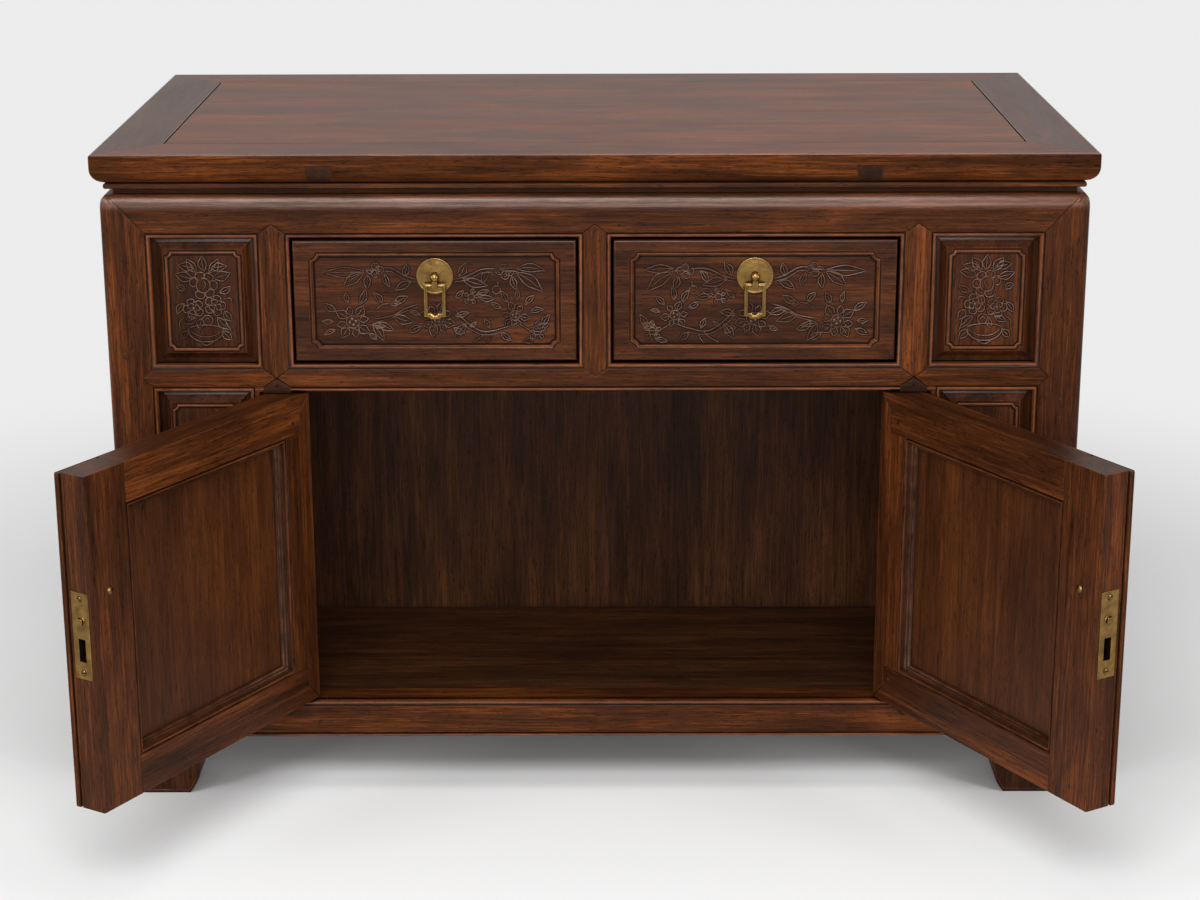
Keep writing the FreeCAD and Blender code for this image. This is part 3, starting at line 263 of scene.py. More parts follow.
# Each wood's slot, its dark, middle, light and worn colours, how much wear and painted corner shade show,
# its roughness from and to, its bump and its shine
woods = {
    "frameWood": ("frame_wood", (0.020, 0.0064, 0.0024), (0.054, 0.0152, 0.0042), (0.140, 0.0370, 0.0080),
                  (0.24, 0.078, 0.022), 0.6, 0.85, (0.28, 0.42), 0.25, 0.07),
    # A lighter copy of the frame wood: painted highlight on the beads and rings
    "beadWood": ("frame_wood", (0.044, 0.0122, 0.0036), (0.098, 0.0270, 0.0070), (0.185, 0.0520, 0.0125),
                 (0.30, 0.105, 0.036), 0.6, 0.95, (0.24, 0.36), 0.12, 0.16),
    "topWood": ("top_wood", (0.044, 0.0122, 0.0046), (0.112, 0.0310, 0.0102), (0.235, 0.0660, 0.0195),
                (0.28, 0.10, 0.04), 0.5, 0.8, (0.34, 0.46), 0.14, 0.10),
    "edgeWood": ("top_wood", (0.021, 0.0066, 0.0022), (0.054, 0.0150, 0.0037), (0.150, 0.0385, 0.0072),
                 (0.28, 0.10, 0.04), 0.5, 0.8, (0.28, 0.40), 0.22, 0.04),
    "panelWood": ("panel_wood", (0.0162, 0.0050, 0.0019), (0.0396, 0.0114, 0.0035), (0.0900, 0.0252, 0.0063),
                  (0.20, 0.075, 0.03), 0.5, 0.6, (0.28, 0.42), 0.22, 0.10),
    "doorWood": ("panel_wood", (0.0267, 0.0081, 0.0026), (0.0515, 0.0152, 0.0041), (0.0920, 0.0262, 0.0060),
                 (0.22, 0.085, 0.035), 0.5, 0.75, (0.34, 0.48), 0.18, 0.09),
    # A lighter copy of the panel wood: painted highlight on the carving's raised lines
    "litCarvedWood": ("panel_wood", (0.036, 0.0145, 0.0080), (0.070, 0.0285, 0.0160), (0.120, 0.0490, 0.0270),
                   (0.26, 0.15, 0.10), 0.6, 0.5, (0.22, 0.32), 0.05, 0.42),
    # Near black: painted shade beside raised lines and rings and in hollows; also the dark seams and the lines round
    # pegs
    "shadeAndSeamWood": ("panel_wood", (0.0050, 0.0026, 0.0018), (0.0090, 0.0040, 0.0026), (0.0160, 0.0065, 0.0038),
                   (0.03, 0.015, 0.010), 0.2, 0.5, (0.5, 0.6), 0.1, 0.04),
    "plugWood": ("top_wood", (0.017, 0.0070, 0.0040), (0.030, 0.0118, 0.0064), (0.050, 0.0185, 0.0095),
                 (0.12, 0.06, 0.035), 0.5, 0.8, (0.36, 0.50), 0.2, 0.05),
    "topEndWood": ("top_wood", (0.046, 0.0200, 0.0130), (0.078, 0.0350, 0.0230), (0.120, 0.0540, 0.0350),
                   (0.26, 0.10, 0.04), 0.5, 0.8, (0.34, 0.46), 0.14, 0.10),
    # A lighter, shinier copy of the panel wood: painted highlight on faces that look up; the pegs' ends use it too
    "litSlopeAndPegWood": ("panel_wood", (0.018, 0.0056, 0.0021), (0.044, 0.0127, 0.0039), (0.100, 0.0280, 0.0070),
                  (0.20, 0.075, 0.03), 0.5, 0.6, (0.30, 0.40), 0.15, 0.36),
    # A darker copy of the frame wood: painted shade on the feet and in the doors' deep mouldings
    "shadedFrameWood": ("frame_wood", (0.012, 0.0048, 0.0024), (0.028, 0.0098, 0.0042), (0.060, 0.0190, 0.0070),
                 (0.16, 0.06, 0.026), 0.8, 0.8, (0.30, 0.44), 0.25, 0.08),
    "arrisWood": ("top_wood", (0.050, 0.0160, 0.0060), (0.110, 0.0340, 0.0120), (0.210, 0.0640, 0.0210),
                  (0.32, 0.14, 0.08), 0.6, 0.6, (0.22, 0.32), 0.12, 0.55),
    "interiorWood": ("interior_wood", (0.018, 0.0072, 0.0032), (0.040, 0.0145, 0.0058), (0.085, 0.0290, 0.0095),
                     (0.2, 0.09, 0.05), 0.2, 0.7, (0.42, 0.6), 0.2, 0.07),
}
# Where hands and cloths have polished the roll under the top: the heights at which it comes and goes
polish = {
    "up": (0.6915, 0.7030), "down": (0.7110, 0.7055), "rough": 0.25, "index": 1.46,
    # paintedSheen is a lighter base colour mixed in along the band: a painted highlight on the roll
    "paintedSheen": (0.17, 0.068, 0.036), "share": 0.6, "least": 0.15,
}
brass = {
    "clean": (0.270, 0.158, 0.046), "aged": (0.110, 0.060, 0.020), "worn": (0.66, 0.42, 0.17),
    "groove": (0.035, 0.020, 0.008), "rough": (0.20, 0.40),
}


def woodMaterial(finish, axis="", polished=False):
    # With an axis the grain runs along that world axis, else along the piece's own grain attribute
    _, *tones, wear, cornerShade, rough, bump, shine = woods[finish]
    dark, middle, light, worn = ((*tone, 1) for tone in tones)
    material, tool, shader = newMaterial(finish + axis.upper() + ("Polished" if polished else ""))
    if axis:
        parts = tool.add("SeparateXYZ", {0: tool.add("TexCoord").outputs["Object"]}).outputs
        order = {"x": (0, 1, 2), "y": (1, 0, 2), "z": (2, 0, 1)}[axis]
        where = tool.add("CombineXYZ", {to: parts[source] for to, source in enumerate(order)}).outputs[0]
    else:
        where = tool.add("Attribute", attribute_name="grain").outputs["Vector"]
    grain = tool.group(grainGroup, where, {"Dark": dark, "Middle": middle, "Light": light})
    amount = tool.reckon("MULTIPLY", tool.group(wearGroup, where)["Mask"], wear)
    base = tool.mix(amount, grain["Color"], worn)
    # Painted shade: the colour darkens towards near black in corners and grooves
    shadeAmount = tool.reckon("MULTIPLY", tool.group(shadeAndGrimeGroup, where)["Mask"], cornerShade)
    base = tool.mix(shadeAmount, base, (0.010, 0.0045, 0.0028, 1))
    inputs = {"Specular IOR Level": shine, "Roughness": tool.ramp(grain["Gloss"], 0, 1, *rough),
              "Normal": tool.bump(grain["Height"], bump, 0.0004)}
    if polished:
        height = tool.add("SeparateXYZ", {0: tool.add("TexCoord").outputs["Object"]}).outputs["Z"]
        up, down = (tool.ramp(height, *polish[way], shape="SMOOTHSTEP") for way in ("up", "down"))
        streaky = tool.ramp(grain["Gloss"], 0, 1, polish["least"])
        coat = tool.reckon("MULTIPLY", tool.reckon("MULTIPLY", up, down), streaky)
        # Painted highlight: along the polished band the base colour lightens towards paintedSheen
        base = tool.mix(tool.reckon("MULTIPLY", coat, polish["share"]), base, (*polish["paintedSheen"], 1))
        inputs |= {"Coat Weight": coat, "Coat Roughness": polish["rough"], "Coat IOR": polish["index"]}
    tool.feed(shader, inputs | {"Base Color": base})
    return material


def makeBrass():
    material, tool, shader = newMaterial("agedBrass")
    where = tool.add("TexCoord").outputs["Object"]
    patch = tool.ramp(tool.noise(where, 95, 4), 0.36, 0.70)
    clean, aged, worn, groove = ((*brass[k], 1) for k in ("clean", "aged", "worn", "groove"))
    base = tool.mix(patch, clean, aged)
    base = tool.mix(tool.group(wearGroup, where, {"Reach": 0.0006})["Mask"], base, worn)
    base = tool.mix(tool.group(shadeAndGrimeGroup, where, {"Reach": 0.0045})["Mask"], base, groove)
    tool.feed(shader, {"Metallic": 1, "Base Color": base, "Roughness": tool.ramp(patch, 0, 1, *brass["rough"]),
                       "Normal": tool.bump(tool.noise(where, 210, 1), 0.35, 0.0006)})
    return material


finishes = {name: woodMaterial(name) for name in woods if name != "interiorWood"}
finishes |= {"rolledWood": woodMaterial("frameWood", polished=True), "agedBrass": makeBrass()}
print("finishes ready")


def newParts(grown, kind=bmesh.types.BMVert):
    return [g for g in grown["geom"] if isinstance(g, kind)]


def outward(bm):
    bmesh.ops.recalc_face_normals(bm, faces=bm.faces)


def moveMesh(mesh, place):
    if place is not None:
        mesh.transform(place)
        if place.is_negative:
            mesh.flip_normals()


def intoMesh(bm, name, place=None):
    mesh = bpy.data.meshes.new(name)
    bm.to_mesh(mesh)
    bm.free()
    moveMesh(mesh, place)
    return mesh


def joinMesh(bm, mesh):
    bm.from_mesh(mesh)
    bpy.data.meshes.remove(mesh)


def joinInto(bm, part, place=None):
    joinMesh(bm, intoMesh(part, "part", place))


def finishPiece(bm, name, finish, grain="x", body="cabinet", place=None, nodes=(), angle=17):
    # Grain runs along that axis of the piece as drawn, or along each face's own length for a run
    bmesh.ops.remove_doubles(bm, verts=bm.verts, dist=1e-6)
    outward(bm)
    mesh = intoMesh(bm, name)
    luck = random.Random(name)
    shift = Vector((luck.uniform(0, 40), luck.uniform(0, 40), luck.uniform(0, 40)))
    orders = {"x": (0, 2, 1), "z": (2, 0, 1)}
    if grain == "run":
        layer = mesh.attributes.new("grain", "FLOAT_VECTOR", "CORNER")
        for face in mesh.polygons:
            spots = [mesh.vertices[i].co for i in face.vertices]
            longest = max((spots[i] - spots[i - 1] for i in range(len(spots))), key=lambda v: v.length)
            order = orders["x" if abs(longest.x) > abs(longest.z) else "z"]
            for corner, spot in zip(face.loop_indices, spots):
                layer.data[corner].vector = Vector([spot[i] for i in order]) + shift
    else:
        layer = mesh.attributes.new("grain", "FLOAT_VECTOR", "POINT")
        for vert, slot in zip(mesh.vertices, layer.data):
            slot.vector = Vector([vert.co[i] for i in orders[grain]]) + shift
    moveMesh(mesh, place)
    mesh.shade_smooth()
    mesh.set_sharp_from_angle(angle=math.radians(angle))
    mesh.materials.append(finishes[finish])
    piece = bpy.data.objects.new(name, mesh)
    scene.collection.objects.link(piece)
    piece.modifiers.new("evenNormals", "WEIGHTED_NORMAL").keep_sharp = True
    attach(piece, body)
    if nodes:
        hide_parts(*nodes)
    return piece


def refinish(piece, finish, wanted):
    # Another finish on the faces that are wanted
    piece.data.materials.append(finishes[finish])
    for face in piece.data.polygons:
        if wanted(face):
            face.material_index = len(piece.data.materials) - 1


def extrudeBy(bm, faces, move):
    grown = bmesh.ops.extrude_face_region(bm, geom=faces)
    bmesh.ops.translate(bm, verts=newParts(grown), vec=move)


def prism(outline, near, far):
    # outline is drawn in X and Z; the piece runs from Y near to Y far
    bm = bmesh.new()
    extrudeBy(bm, [bm.faces.new([bm.verts.new((x, near, z)) for x, z in outline])], (0, far - near, 0))
    outward(bm)
    return bm


def holedPlate(loops, front, thick):
    # A flat plate between an outer and an inner loop
    bm, rings = bmesh.new(), []
    for loop in loops:
        verts = [bm.verts.new((x, front, z)) for x, z in loop]
        rings += [bm.edges.new((verts[i - 1], verts[i])) for i in range(len(verts))]
    bmesh.ops.triangle_fill(bm, use_beauty=True, edges=rings)
    extrudeBy(bm, bm.faces[:], (0, thick, 0))
    outward(bm)
    return bm


def rectangle(x0, z0, x1, z1):
    return [(x0, z0), (x1, z0), (x1, z1), (x0, z1)]


def mirrored(half):
    # An outline from its right half
    return [*half, *((-x, z) for x, z in reversed(half))]


def block(near, far):
    bm = bmesh.new()
    bmesh.ops.create_cube(bm, size=1)
    size, middle = Vector(far) - Vector(near), (Vector(far) + Vector(near)) / 2
    bmesh.ops.transform(bm, matrix=Matrix.Translation(middle) @ Matrix.Diagonal((*size, 1)), verts=bm.verts)
    return bm


def addBlock(bm, near, far, soft=0.0):
    part = block(near, far)
    if soft:
        softenAll(part, soft)
    joinInto(bm, part)


def softenEdges(bm, wanted, offset, segments=2):
    edges = [e for e in bm.edges if wanted(e)]
    if edges:
        bmesh.ops.bevel(bm, geom=edges, offset=offset, segments=segments, affect="EDGES", profile=0.5, material=-1)


def softenAll(bm, offset, segments=2):
    softenEdges(bm, lambda e: bent(e, math.radians(30)), offset, segments)


def bent(edge, turn):
    return len(edge.link_faces) == 2 and edge.calc_face_angle() > turn


def atDepth(value):
    return lambda e: all(abs(v.co.y - value) < 1e-6 for v in e.verts)


def inset(bm, face, width):
    bmesh.ops.inset_region(bm, faces=[face], thickness=width, depth=0, use_even_offset=True, use_boundary=True)


def crowned(outline, near, far, width, fall):
    # A prism whose face is very slightly pillowed, so that joints between members read as fine grooves
    bm = prism(outline, near, far)
    face = min(bm.faces, key=lambda f: f.calc_center_median().y)
    inset(bm, face, width)
    inner = set(face.verts)
    for vert in bm.verts:
        if abs(vert.co.y - near) < 1e-7 and vert not in inner:
            vert.co.y += fall
    return bm


def mitres(path, closed):
    # For each corner of the path, how far to move for each unit of width to the left of the path
    count, moves = len(path), []
    for i, point in enumerate(path):
        before = point - path[i - 1] if closed or i else None
        after = path[(i + 1) % count] - point if closed or i < count - 1 else None
        sides = [Vector((-d.y, d.x)).normalized() for d in (before, after) if d is not None]
        moves.append(sides[0] if len(sides) == 1 else (sides[0] + sides[1]) / max(1 + sides[0].dot(sides[1]), 0.25))
    return moves


def shrunk(outline, by):
    # The outline drawn in a little on all sides
    points = [Vector(p) for p in outline]
    area = sum(a.x * b.y - b.x * a.y for a, b in zip(points, points[1:] + points[:1]))
    return [tuple(p + m * (by if area > 0 else -by)) for p, m in zip(points, mitres(points, True))]


def carried(spot, steps, count, closed):
    # Takes a closed section of count corners through the steps; spot gives each corner's place
    bm = bmesh.new()
    mark = bm.verts.layers.int.new("mark")
    ring = [bm.verts.new(spot(steps[0], k)) for k in range(count)]
    for k, vert in enumerate(ring):
        vert[mark] = k
    first = edges = [bm.edges.new((ring[k - 1], ring[k])) for k in range(count)]
    for i in steps[1:]:
        grown = bmesh.ops.extrude_edge_only(bm, edges=edges)
        edges = newParts(grown, bmesh.types.BMEdge)
        for vert in newParts(grown):
            vert.co = spot(i, vert[mark])
    if not closed:
        for loop in (first, edges):
            bmesh.ops.contextual_create(bm, geom=loop)
    return bm


def swept(path, profile, level=0.0, closed=True, only=None):
    # path is in X and Z and its inside lies to the left; profile is (width inward, height towards the viewer)
    path = [Vector(p) for p in path]
    moves, whole = mitres(path, closed), closed and not only

    def spot(i, k):
        at = path[i] + moves[i] * profile[k][0]
        return Vector((at.x, level - profile[k][1], at.y))

    steps = [*(only or range(len(path))), *([0] if whole else [])]
    return carried(spot, steps, len(profile), whole)


def trim(name, path, profile, level, finish="beadWood", body="cabinet", place=None):
    # A strip of one section all along a closed path
    # Beads and rings take the lighter bead wood by default, a painted highlight
    return finishPiece(swept(path, profile, level), name, finish, "run", body, place, angle=50)


def smoothLine(points, parts):
    # A soft curve through the points
    points = [Vector(p) for p in points]
    last, out = len(points) - 1, []
    for i in range(last):
        a, b, c, d = (points[min(max(i + j, 0), last)] for j in (-1, 0, 1, 2))
        for n in range(parts):
            t = n / parts
            bend = (2 * a - 5 * b + 4 * c - d) * t * t + (3 * b - a - 3 * c + d) * t ** 3
            out.append(0.5 * (2 * b + (c - a) * t + bend))
    return [*out, points[-1]]


def arc(centre, radius, start, end, steps):
    turns = [math.radians(start + (end - start) * n / steps) for n in range(steps + 1)]
    return [(centre[0] + radius * math.cos(t), centre[1] + radius * math.sin(t)) for t in turns]


def notched(x0, z0, x1, z1, notch):
    # A rectangle, counter-clockwise, whose corners are hollowed by quarter circles
    corners = zip(rectangle(x0, z0, x1, z1), (90, 180, 270, 360))
    return [spot for corner, start in corners for spot in arc(corner, notch, start, start - 90, 4)]


def millimetres(*pairs):
    return [(a / 1000, b / 1000) for a, b in pairs]


# Levels and lines shared by the front, read from the frame
def lowest(node, axis):
    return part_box(node)[0]["xyz".index(axis)]


def highest(node, axis):
    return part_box(node)[1]["xyz".index(axis)]


frontY, backY = lowest("front_mid_rail", "y"), highest("back_left_post", "y")
railLow, floorZ = lowest("front_bottom_rail", "z"), highest("front_bottom_rail", "z")
midLow, midHigh = lowest("front_mid_rail", "z"), highest("front_mid_rail", "z")
drawerTop, shoulderZ = lowest("front_top_rail", "z"), highest("front_top_rail", "z")
postOut, postIn = lowest("front_left_post", "x"), highest("front_left_post", "x")
stileOut, stileIn = lowest("left_stile", "x"), highest("left_stile", "x")
centreHalf, jambOut = highest("centre_stile", "x"), lowest("door_jambs", "x")
stileMid, middleZ = (stileOut + stileIn) / 2, (midLow + midHigh) / 2
halfWide, halfDeep, middleY = -postOut, (backY - frontY) / 2, (backY + frontY) / 2
bothSides = ((-1, "left"), (1, "right"))

joinery = {
    "bead": 0.0055,          # width of the bead along each opening
    "rollDeep": 0.0094,      # how far the faces roll back under the top
    "rollTall": 0.0180,      # the height over which they do
    "corner": 0.0100,        # rounding of the carcass's upright corners
    "slit": 0.00024,         # half of the dark line left between two members
    "arris": 0.0004,         # eased edges where two members meet
    "crown": 0.0006,         # how far the faces fall off towards their edges
    "crownWidth": 0.0036,
    "slab": 0.0060,          # thickness of a member's face, with plain wood behind it
    "cheek": 0.0200,         # the same for the top rails
    "rail": 0.040,
    "post": 0.0545,
    "seamIn": 0.0094,        # where the corner joints meet the top, from the outside
    "stilePeak": 0.0098,     # how far a stile's point runs into the top rail
    "blockDrop": 0.0014,     # how far the pivot blocks stand out of their rails
    "rollFoot": 0.012,       # edges are eased up to this far below the top
    "overlap": 0.0002,       # how far plain wood runs into a face in front of it
}
bead, slit = joinery["bead"], joinery["slit"]
postWide = joinery["post"] - bead       # a post's face, less the bead beside it
easeTop = shoulderZ - joinery["rollFoot"]

# The front is drawn as seen from the front; the other sides are drawn the same way and then turned
turns = {
    "front": Matrix.Identity(4),
    "right": Matrix.Translation((halfWide + frontY, middleY, 0)) @ Matrix.Rotation(math.pi / 2, 4, "Z"),
    "back": Matrix.Translation((0, backY + frontY, 0)) @ Matrix.Rotation(math.pi, 4, "Z"),
    "left": Matrix.Translation((-halfWide - frontY, middleY, 0)) @ Matrix.Rotation(-math.pi / 2, 4, "Z"),
}

# Width into the opening, height towards the viewer: a quirk, a round bead, then the opening's wall
beadProfile = millimetres(
    (0, -12), (0, -0.6), (0.3, -2.2), (1.1, -2.6), (1.5, -1.4), (2.1, -0.2),
    (3.0, 0.3), (3.9, 0), (4.7, -0.9), (5.2, -2.0), (5.5, -3.6), (5.5, -12))


def beadRing(name, x0, z0, x1, z1, side="front"):
    # The opening's own edge is at x0..x1 and z0..z1, and the bead lies outside it
    trim(name, rectangle(x0 - bead, z0 - bead, x1 + bead, z1 + bead), beadProfile, frontY, place=turns[side])


def beadRun(name, x0, x1, z, upward=False, side="front"):
    # A straight bead along the bottom or top edge of a rail; upward when the opening is above it
    path = [(x0, z), (x1, z)] if upward else [(x1, z), (x0, z)]
    finishPiece(swept(path, beadProfile, frontY, closed=False), name, "beadWood", place=turns[side], angle=50)


def bisect(bm, through, across, near=1e-7, **more):
    geom = bm.verts[:] + bm.edges[:] + bm.faces[:]
    return bmesh.ops.bisect_plane(bm, geom=geom, dist=near, plane_co=through, plane_no=across, **more)


def cutAway(bm, through, side):
    # Everything on that side of a plane goes, and the cut is closed
    cut = bisect(bm, through, side, 1e-6, clear_outer=True)
    bmesh.ops.holes_fill(bm, edges=[g for g in cut["geom_cut"] if isinstance(g, bmesh.types.BMEdge)])


def rollTop(bm, sideX=None):
    # The faces roll back under the top in a tall quarter ellipse
    deep, tall = joinery["rollDeep"], joinery["rollTall"]
    start = shoulderZ - tall
    for n in range(8):
        bisect(bm, (0, 0, start + tall * math.sin(math.radians(11.25 * n) + 0.0001)), (0, 0, 1))
    for vert in bm.verts:
        rise = (vert.co.z - start) / tall
        if rise > 0:
            rise = 1 if rise > 0.983 else rise
            back = deep * (1 - math.sqrt(1 - rise ** 2))
            vert.co.y = max(vert.co.y, frontY + back)
            if sideX is not None:
                vert.co.x = min(vert.co.x, sideX - back)


def easeFace(bm):
    lip = atDepth(frontY + joinery["crown"])
    softenEdges(bm, lambda e: lip(e) and min(v.co.z for v in e.verts) < easeTop, joinery["arris"])


def faceSlab(bm, outline, depth=joinery["slab"]):
    # One member's face: drawn in by the slit, pillowed, its edges eased below the roll
    part = crowned(shrunk(outline, slit), frontY, frontY + depth, joinery["crownWidth"], joinery["crown"])
    easeFace(part)
    joinInto(bm, part)


def backing(bm, half, z0, z1, depth=joinery["slab"], soft=0.0, centre=0):
    # Plain wood behind a member's face
    near, far = frontY + depth - joinery["overlap"], frontY + joinery["rail"]
    addBlock(bm, (centre - half, near, z0), (centre + half, far, z1), soft)


def topRail(bm, half, inner, notches=()):
    # A top rail with mitred ends, as seen from its own side
    z0, seam = drawerTop + bead, half - joinery["seamIn"]
    part = bmesh.new()
    faceSlab(part, [(-inner, z0), *notches, (inner, z0), (seam, shoulderZ), (-seam, shoulderZ)], joinery["cheek"])
    for end in (-1, 1):
        cutAway(part, (end * half, frontY, 0), (end, 1, 0))
    rollTop(part)
    joinInto(bm, part)
    backing(bm, inner - 0.0005, z0 - bead, shoulderZ - 0.0004, joinery["cheek"])


def makePosts(lowMid, tip, lowTip):
    # Drawn at the front right, then mirrored to the other corners
    outer, inner, seam = halfWide, halfWide - postWide, joinery["seamIn"]
    outline = [(outer, railLow), (outer, shoulderZ), (outer - seam, shoulderZ), (inner, drawerTop + bead)]
    outline += [(inner, midHigh - bead), (inner + tip, middleZ), (inner, midLow + bead), (inner, floorZ - bead)]
    outline += [(inner + lowTip, lowMid), (inner, railLow + bead), (inner, railLow)]
    corners = {"frontRight": (1, 1), "frontLeft": (-1, 1), "backRight": (1, -1), "backLeft": (-1, -1)}
    for name, scale in corners.items():
        bm = prism(shrunk(outline, slit), frontY, frontY + postWide)
        softenEdges(bm, lambda e: all(v.co.x > outer - 0.001 and v.co.y < frontY + 0.001 for v in e.verts),
                    joinery["corner"], 6)
        face = max((f for f in bm.faces if f.normal.y < -0.99), key=lambda f: f.calc_area())
        inset(bm, face, joinery["crownWidth"])
        kept = set(face.verts)
        for vert in bm.verts:
            if vert.co.y < frontY + 1e-6 and vert not in kept and vert.co.x < outer - joinery["corner"] - 0.001:
                vert.co.y += joinery["crown"]
        easeFace(bm)
        cutAway(bm, (0, frontY + postWide, drawerTop + bead - 0.0003),
                (0, shoulderZ - drawerTop - bead, postWide - seam))
        softenEdges(bm, lambda e: all(v.co.x > outer - 0.0006 and v.co.y > frontY + 0.001 for v in e.verts)
                    and bent(e, 0.6) and min(v.co.z for v in e.verts) < easeTop, joinery["arris"])
        rollTop(bm, outer - slit)
        for side, depth, head in ((0.003, postWide - 0.0006, 0.004), (0.0125, joinery["post"], 0.002)):
            addBlock(bm, (inner - bead, frontY + 0.0062, railLow + 0.0002),
                     (outer - side, frontY + depth, drawerTop + head))
        place = Matrix.Translation((0, (1 - scale[1]) * middleY, 0)) @ Matrix.Diagonal((*scale, 1, 1))
        node = name.replace("R", "_r").replace("L", "_l") + "_post"
        finishPiece(bm, name + "Post", "rolledWood", "z", place=place, nodes=[node])


def notchAt(centre, wide, z, depth):
    return [(centre - wide, z), (centre, z + depth), (centre + wide, z)]


def makeFront():
    faceIn, small = halfWide - postWide, centreHalf - bead
    half = stileMid - stileOut - bead
    reach, lowReach = (midHigh - midLow) / 2, (floorZ - railLow) / 2
    tip, lowTip, lowMid = reach - bead, lowReach - bead, (floorZ + railLow) / 2
    stiles = (("left", stileMid, half), ("centre", 0, small), ("right", -stileMid, half))
    makePosts(lowMid, tip, lowTip)

    # Rails, with a notch for each stile's point
    notches = []
    for _, centre, wide in stiles:
        notches += notchAt(centre, wide, drawerTop + bead, joinery["stilePeak"])
    bm = bmesh.new()
    topRail(bm, halfWide, faceIn, notches)
    finishPiece(bm, "frontTopRail", "rolledWood", nodes=["front_top_rail"])

    z0, z1, gap = midLow + bead, midHigh - bead, stileMid - 0.0004
    side = [(-faceIn - tip, middleZ), (-faceIn, z0), (stileMid - half, z0), (gap, middleZ)]
    side += [(stileMid - half, z1), (-faceIn, z1)]
    centre = [(stileMid + 0.0004, middleZ), (stileMid + half, z0)]
    centre += [(-stileMid - half, z0), (-stileMid - 0.0004, middleZ)]
    centre += [(-stileMid - half, z1), *reversed(notchAt(0, small, z1, -tip * small / half)), (stileMid + half, z1)]
    bm = bmesh.new()
    for outline in (side, centre, [(-x, z) for x, z in reversed(side)]):
        faceSlab(bm, outline)
    backing(bm, faceIn - 0.0005, midLow, midHigh, soft=0.0006)
    finishPiece(bm, "frontMidRail", "frameWood", nodes=["front_mid_rail"])

    def addPointed(bm, mid, reach, point, soft=0.0):
        face = reach - bead
        faceSlab(bm, mirrored([(faceIn, mid - face), (faceIn + point, mid), (faceIn, mid + face)]))
        backing(bm, faceIn - 0.0005, mid - reach, mid + reach, soft=soft)

    bm = bmesh.new()
    addPointed(bm, lowMid, lowReach, lowTip, 0.0006)
    finishPiece(bm, "frontBottomRail", "frameWood", nodes=["front_bottom_rail"])

    # Stiles between the drawers and panels
    for name, centre, wide in stiles:
        z0, z1, bm = midHigh - bead, drawerTop + bead, bmesh.new()
        faceSlab(bm, [(centre - wide, z0), (centre, z0 - tip * wide / half), (centre + wide, z0),
                      (centre + wide, z1), (centre, z1 + joinery["stilePeak"]), (centre - wide, z1)])
        backing(bm, wide, midHigh, drawerTop, soft=0.0006, centre=centre)
        finishPiece(bm, name + "FrontStile", "frameWood", "z", nodes=[name + "_stile"])

    # Jambs beside the doors, and the blocks that hold the doors' pivots
    bm, foot, head = bmesh.new(), floorZ - bead + 0.0002, midLow + bead - 0.0002
    for side in (-1, 1):
        for x0, x1, z0, z1 in ((jambOut + bead, stileOut, foot, head), (stileOut - 0.001, gap - half, foot, floorZ),
                               (stileOut - 0.001, gap - half, midLow, head)):
            x0, x1 = sorted((side * x0, side * x1))
            addBlock(bm, (x0, frontY + 0.0004, z0), (x1, frontY + joinery["rail"], z1), 0.0004)
    finishPiece(bm, "doorJambPair", "frameWood", "z", nodes=["door_jambs"])
    bm, wide, drop = bmesh.new(), half + 0.0006, joinery["blockDrop"]
    for centre in (stileMid, -stileMid):
        left, right = centre - wide, centre + wide
        upper = [(left, midLow - drop), (right, midLow - drop), (right, midLow + bead - 0.0006)]
        upper += [(centre, middleZ - 0.0008), (left, midLow + bead - 0.0006)]
        lower = [(left, floorZ - bead + 0.0006), (centre, lowMid + 0.0008), (right, floorZ - bead + 0.0006)]
        lower += [(right, floorZ + drop), (left, floorZ + drop)]
        for outline in (upper, lower):
            part = crowned(outline, frontY - 0.0003, frontY + 0.030, 0.003, 0.0005)
            softenEdges(part, atDepth(frontY + 0.0002), 0.0004)
            joinInto(bm, part)
    finishPiece(bm, "pivotBlockSet", "plugWood", nodes=["pivot_blocks"])

    # Beads round the openings
    for side, name in bothSides:
        for label, inside, edge, z0, z1 in (
            ("UpperPanel", postIn, stileOut, midHigh, drawerTop), ("LowerPanel", postIn, jambOut, floorZ, midLow),
            ("Drawer", stileIn, -centreHalf, midHigh, drawerTop),
        ):
            x0, x1 = sorted((-side * inside, -side * edge))
            beadRing(f"{name}{label}Bead", x0, z0, x1, z1)
        x0, x1 = sorted((side * (jambOut + bead - 0.0001), side * (stileMid - wide)))
        beadRun(f"{name}JambTopBead", x0, x1, midLow + bead)
        beadRun(f"{name}JambFootBead", x0, x1, floorZ - bead, True)
    beadRun("doorwayTopBead", stileMid + wide, -stileMid - wide, midLow + bead)
    beadRun("doorwaySillBead", stileMid + wide, -stileMid - wide, floorZ - bead, True)
    beadRun("railFootBead", postIn - bead, -postIn + bead, railLow + bead)

    # The back, in the same manner, with a raised board above and below its middle rail
    bm = bmesh.new()
    topRail(bm, halfWide, faceIn)
    addPointed(bm, middleZ, reach, tip)
    addPointed(bm, lowMid, lowReach, lowTip)
    finishPiece(bm, "backRailSet", "rolledWood", place=turns["back"], nodes=["back_rails"])
    bm = bmesh.new()
    for label, z0, z1 in (("Upper", midHigh, drawerTop), ("Lower", floorZ, midLow)):
        beadRing(f"back{label}Bead", postIn, z0, -postIn, z1, "back")
        joinInto(bm, covedBoard(postIn, z0, -postIn, z1, frontY + endBoard["sunk"], endBoard["cove"]))
    finishPiece(bm, "backBoardPair", "panelWood", "z", place=turns["back"], nodes=["back_panels"])
    beadRun("backFootBead", postIn - bead, -postIn + bead, railLow + bead, side="back")

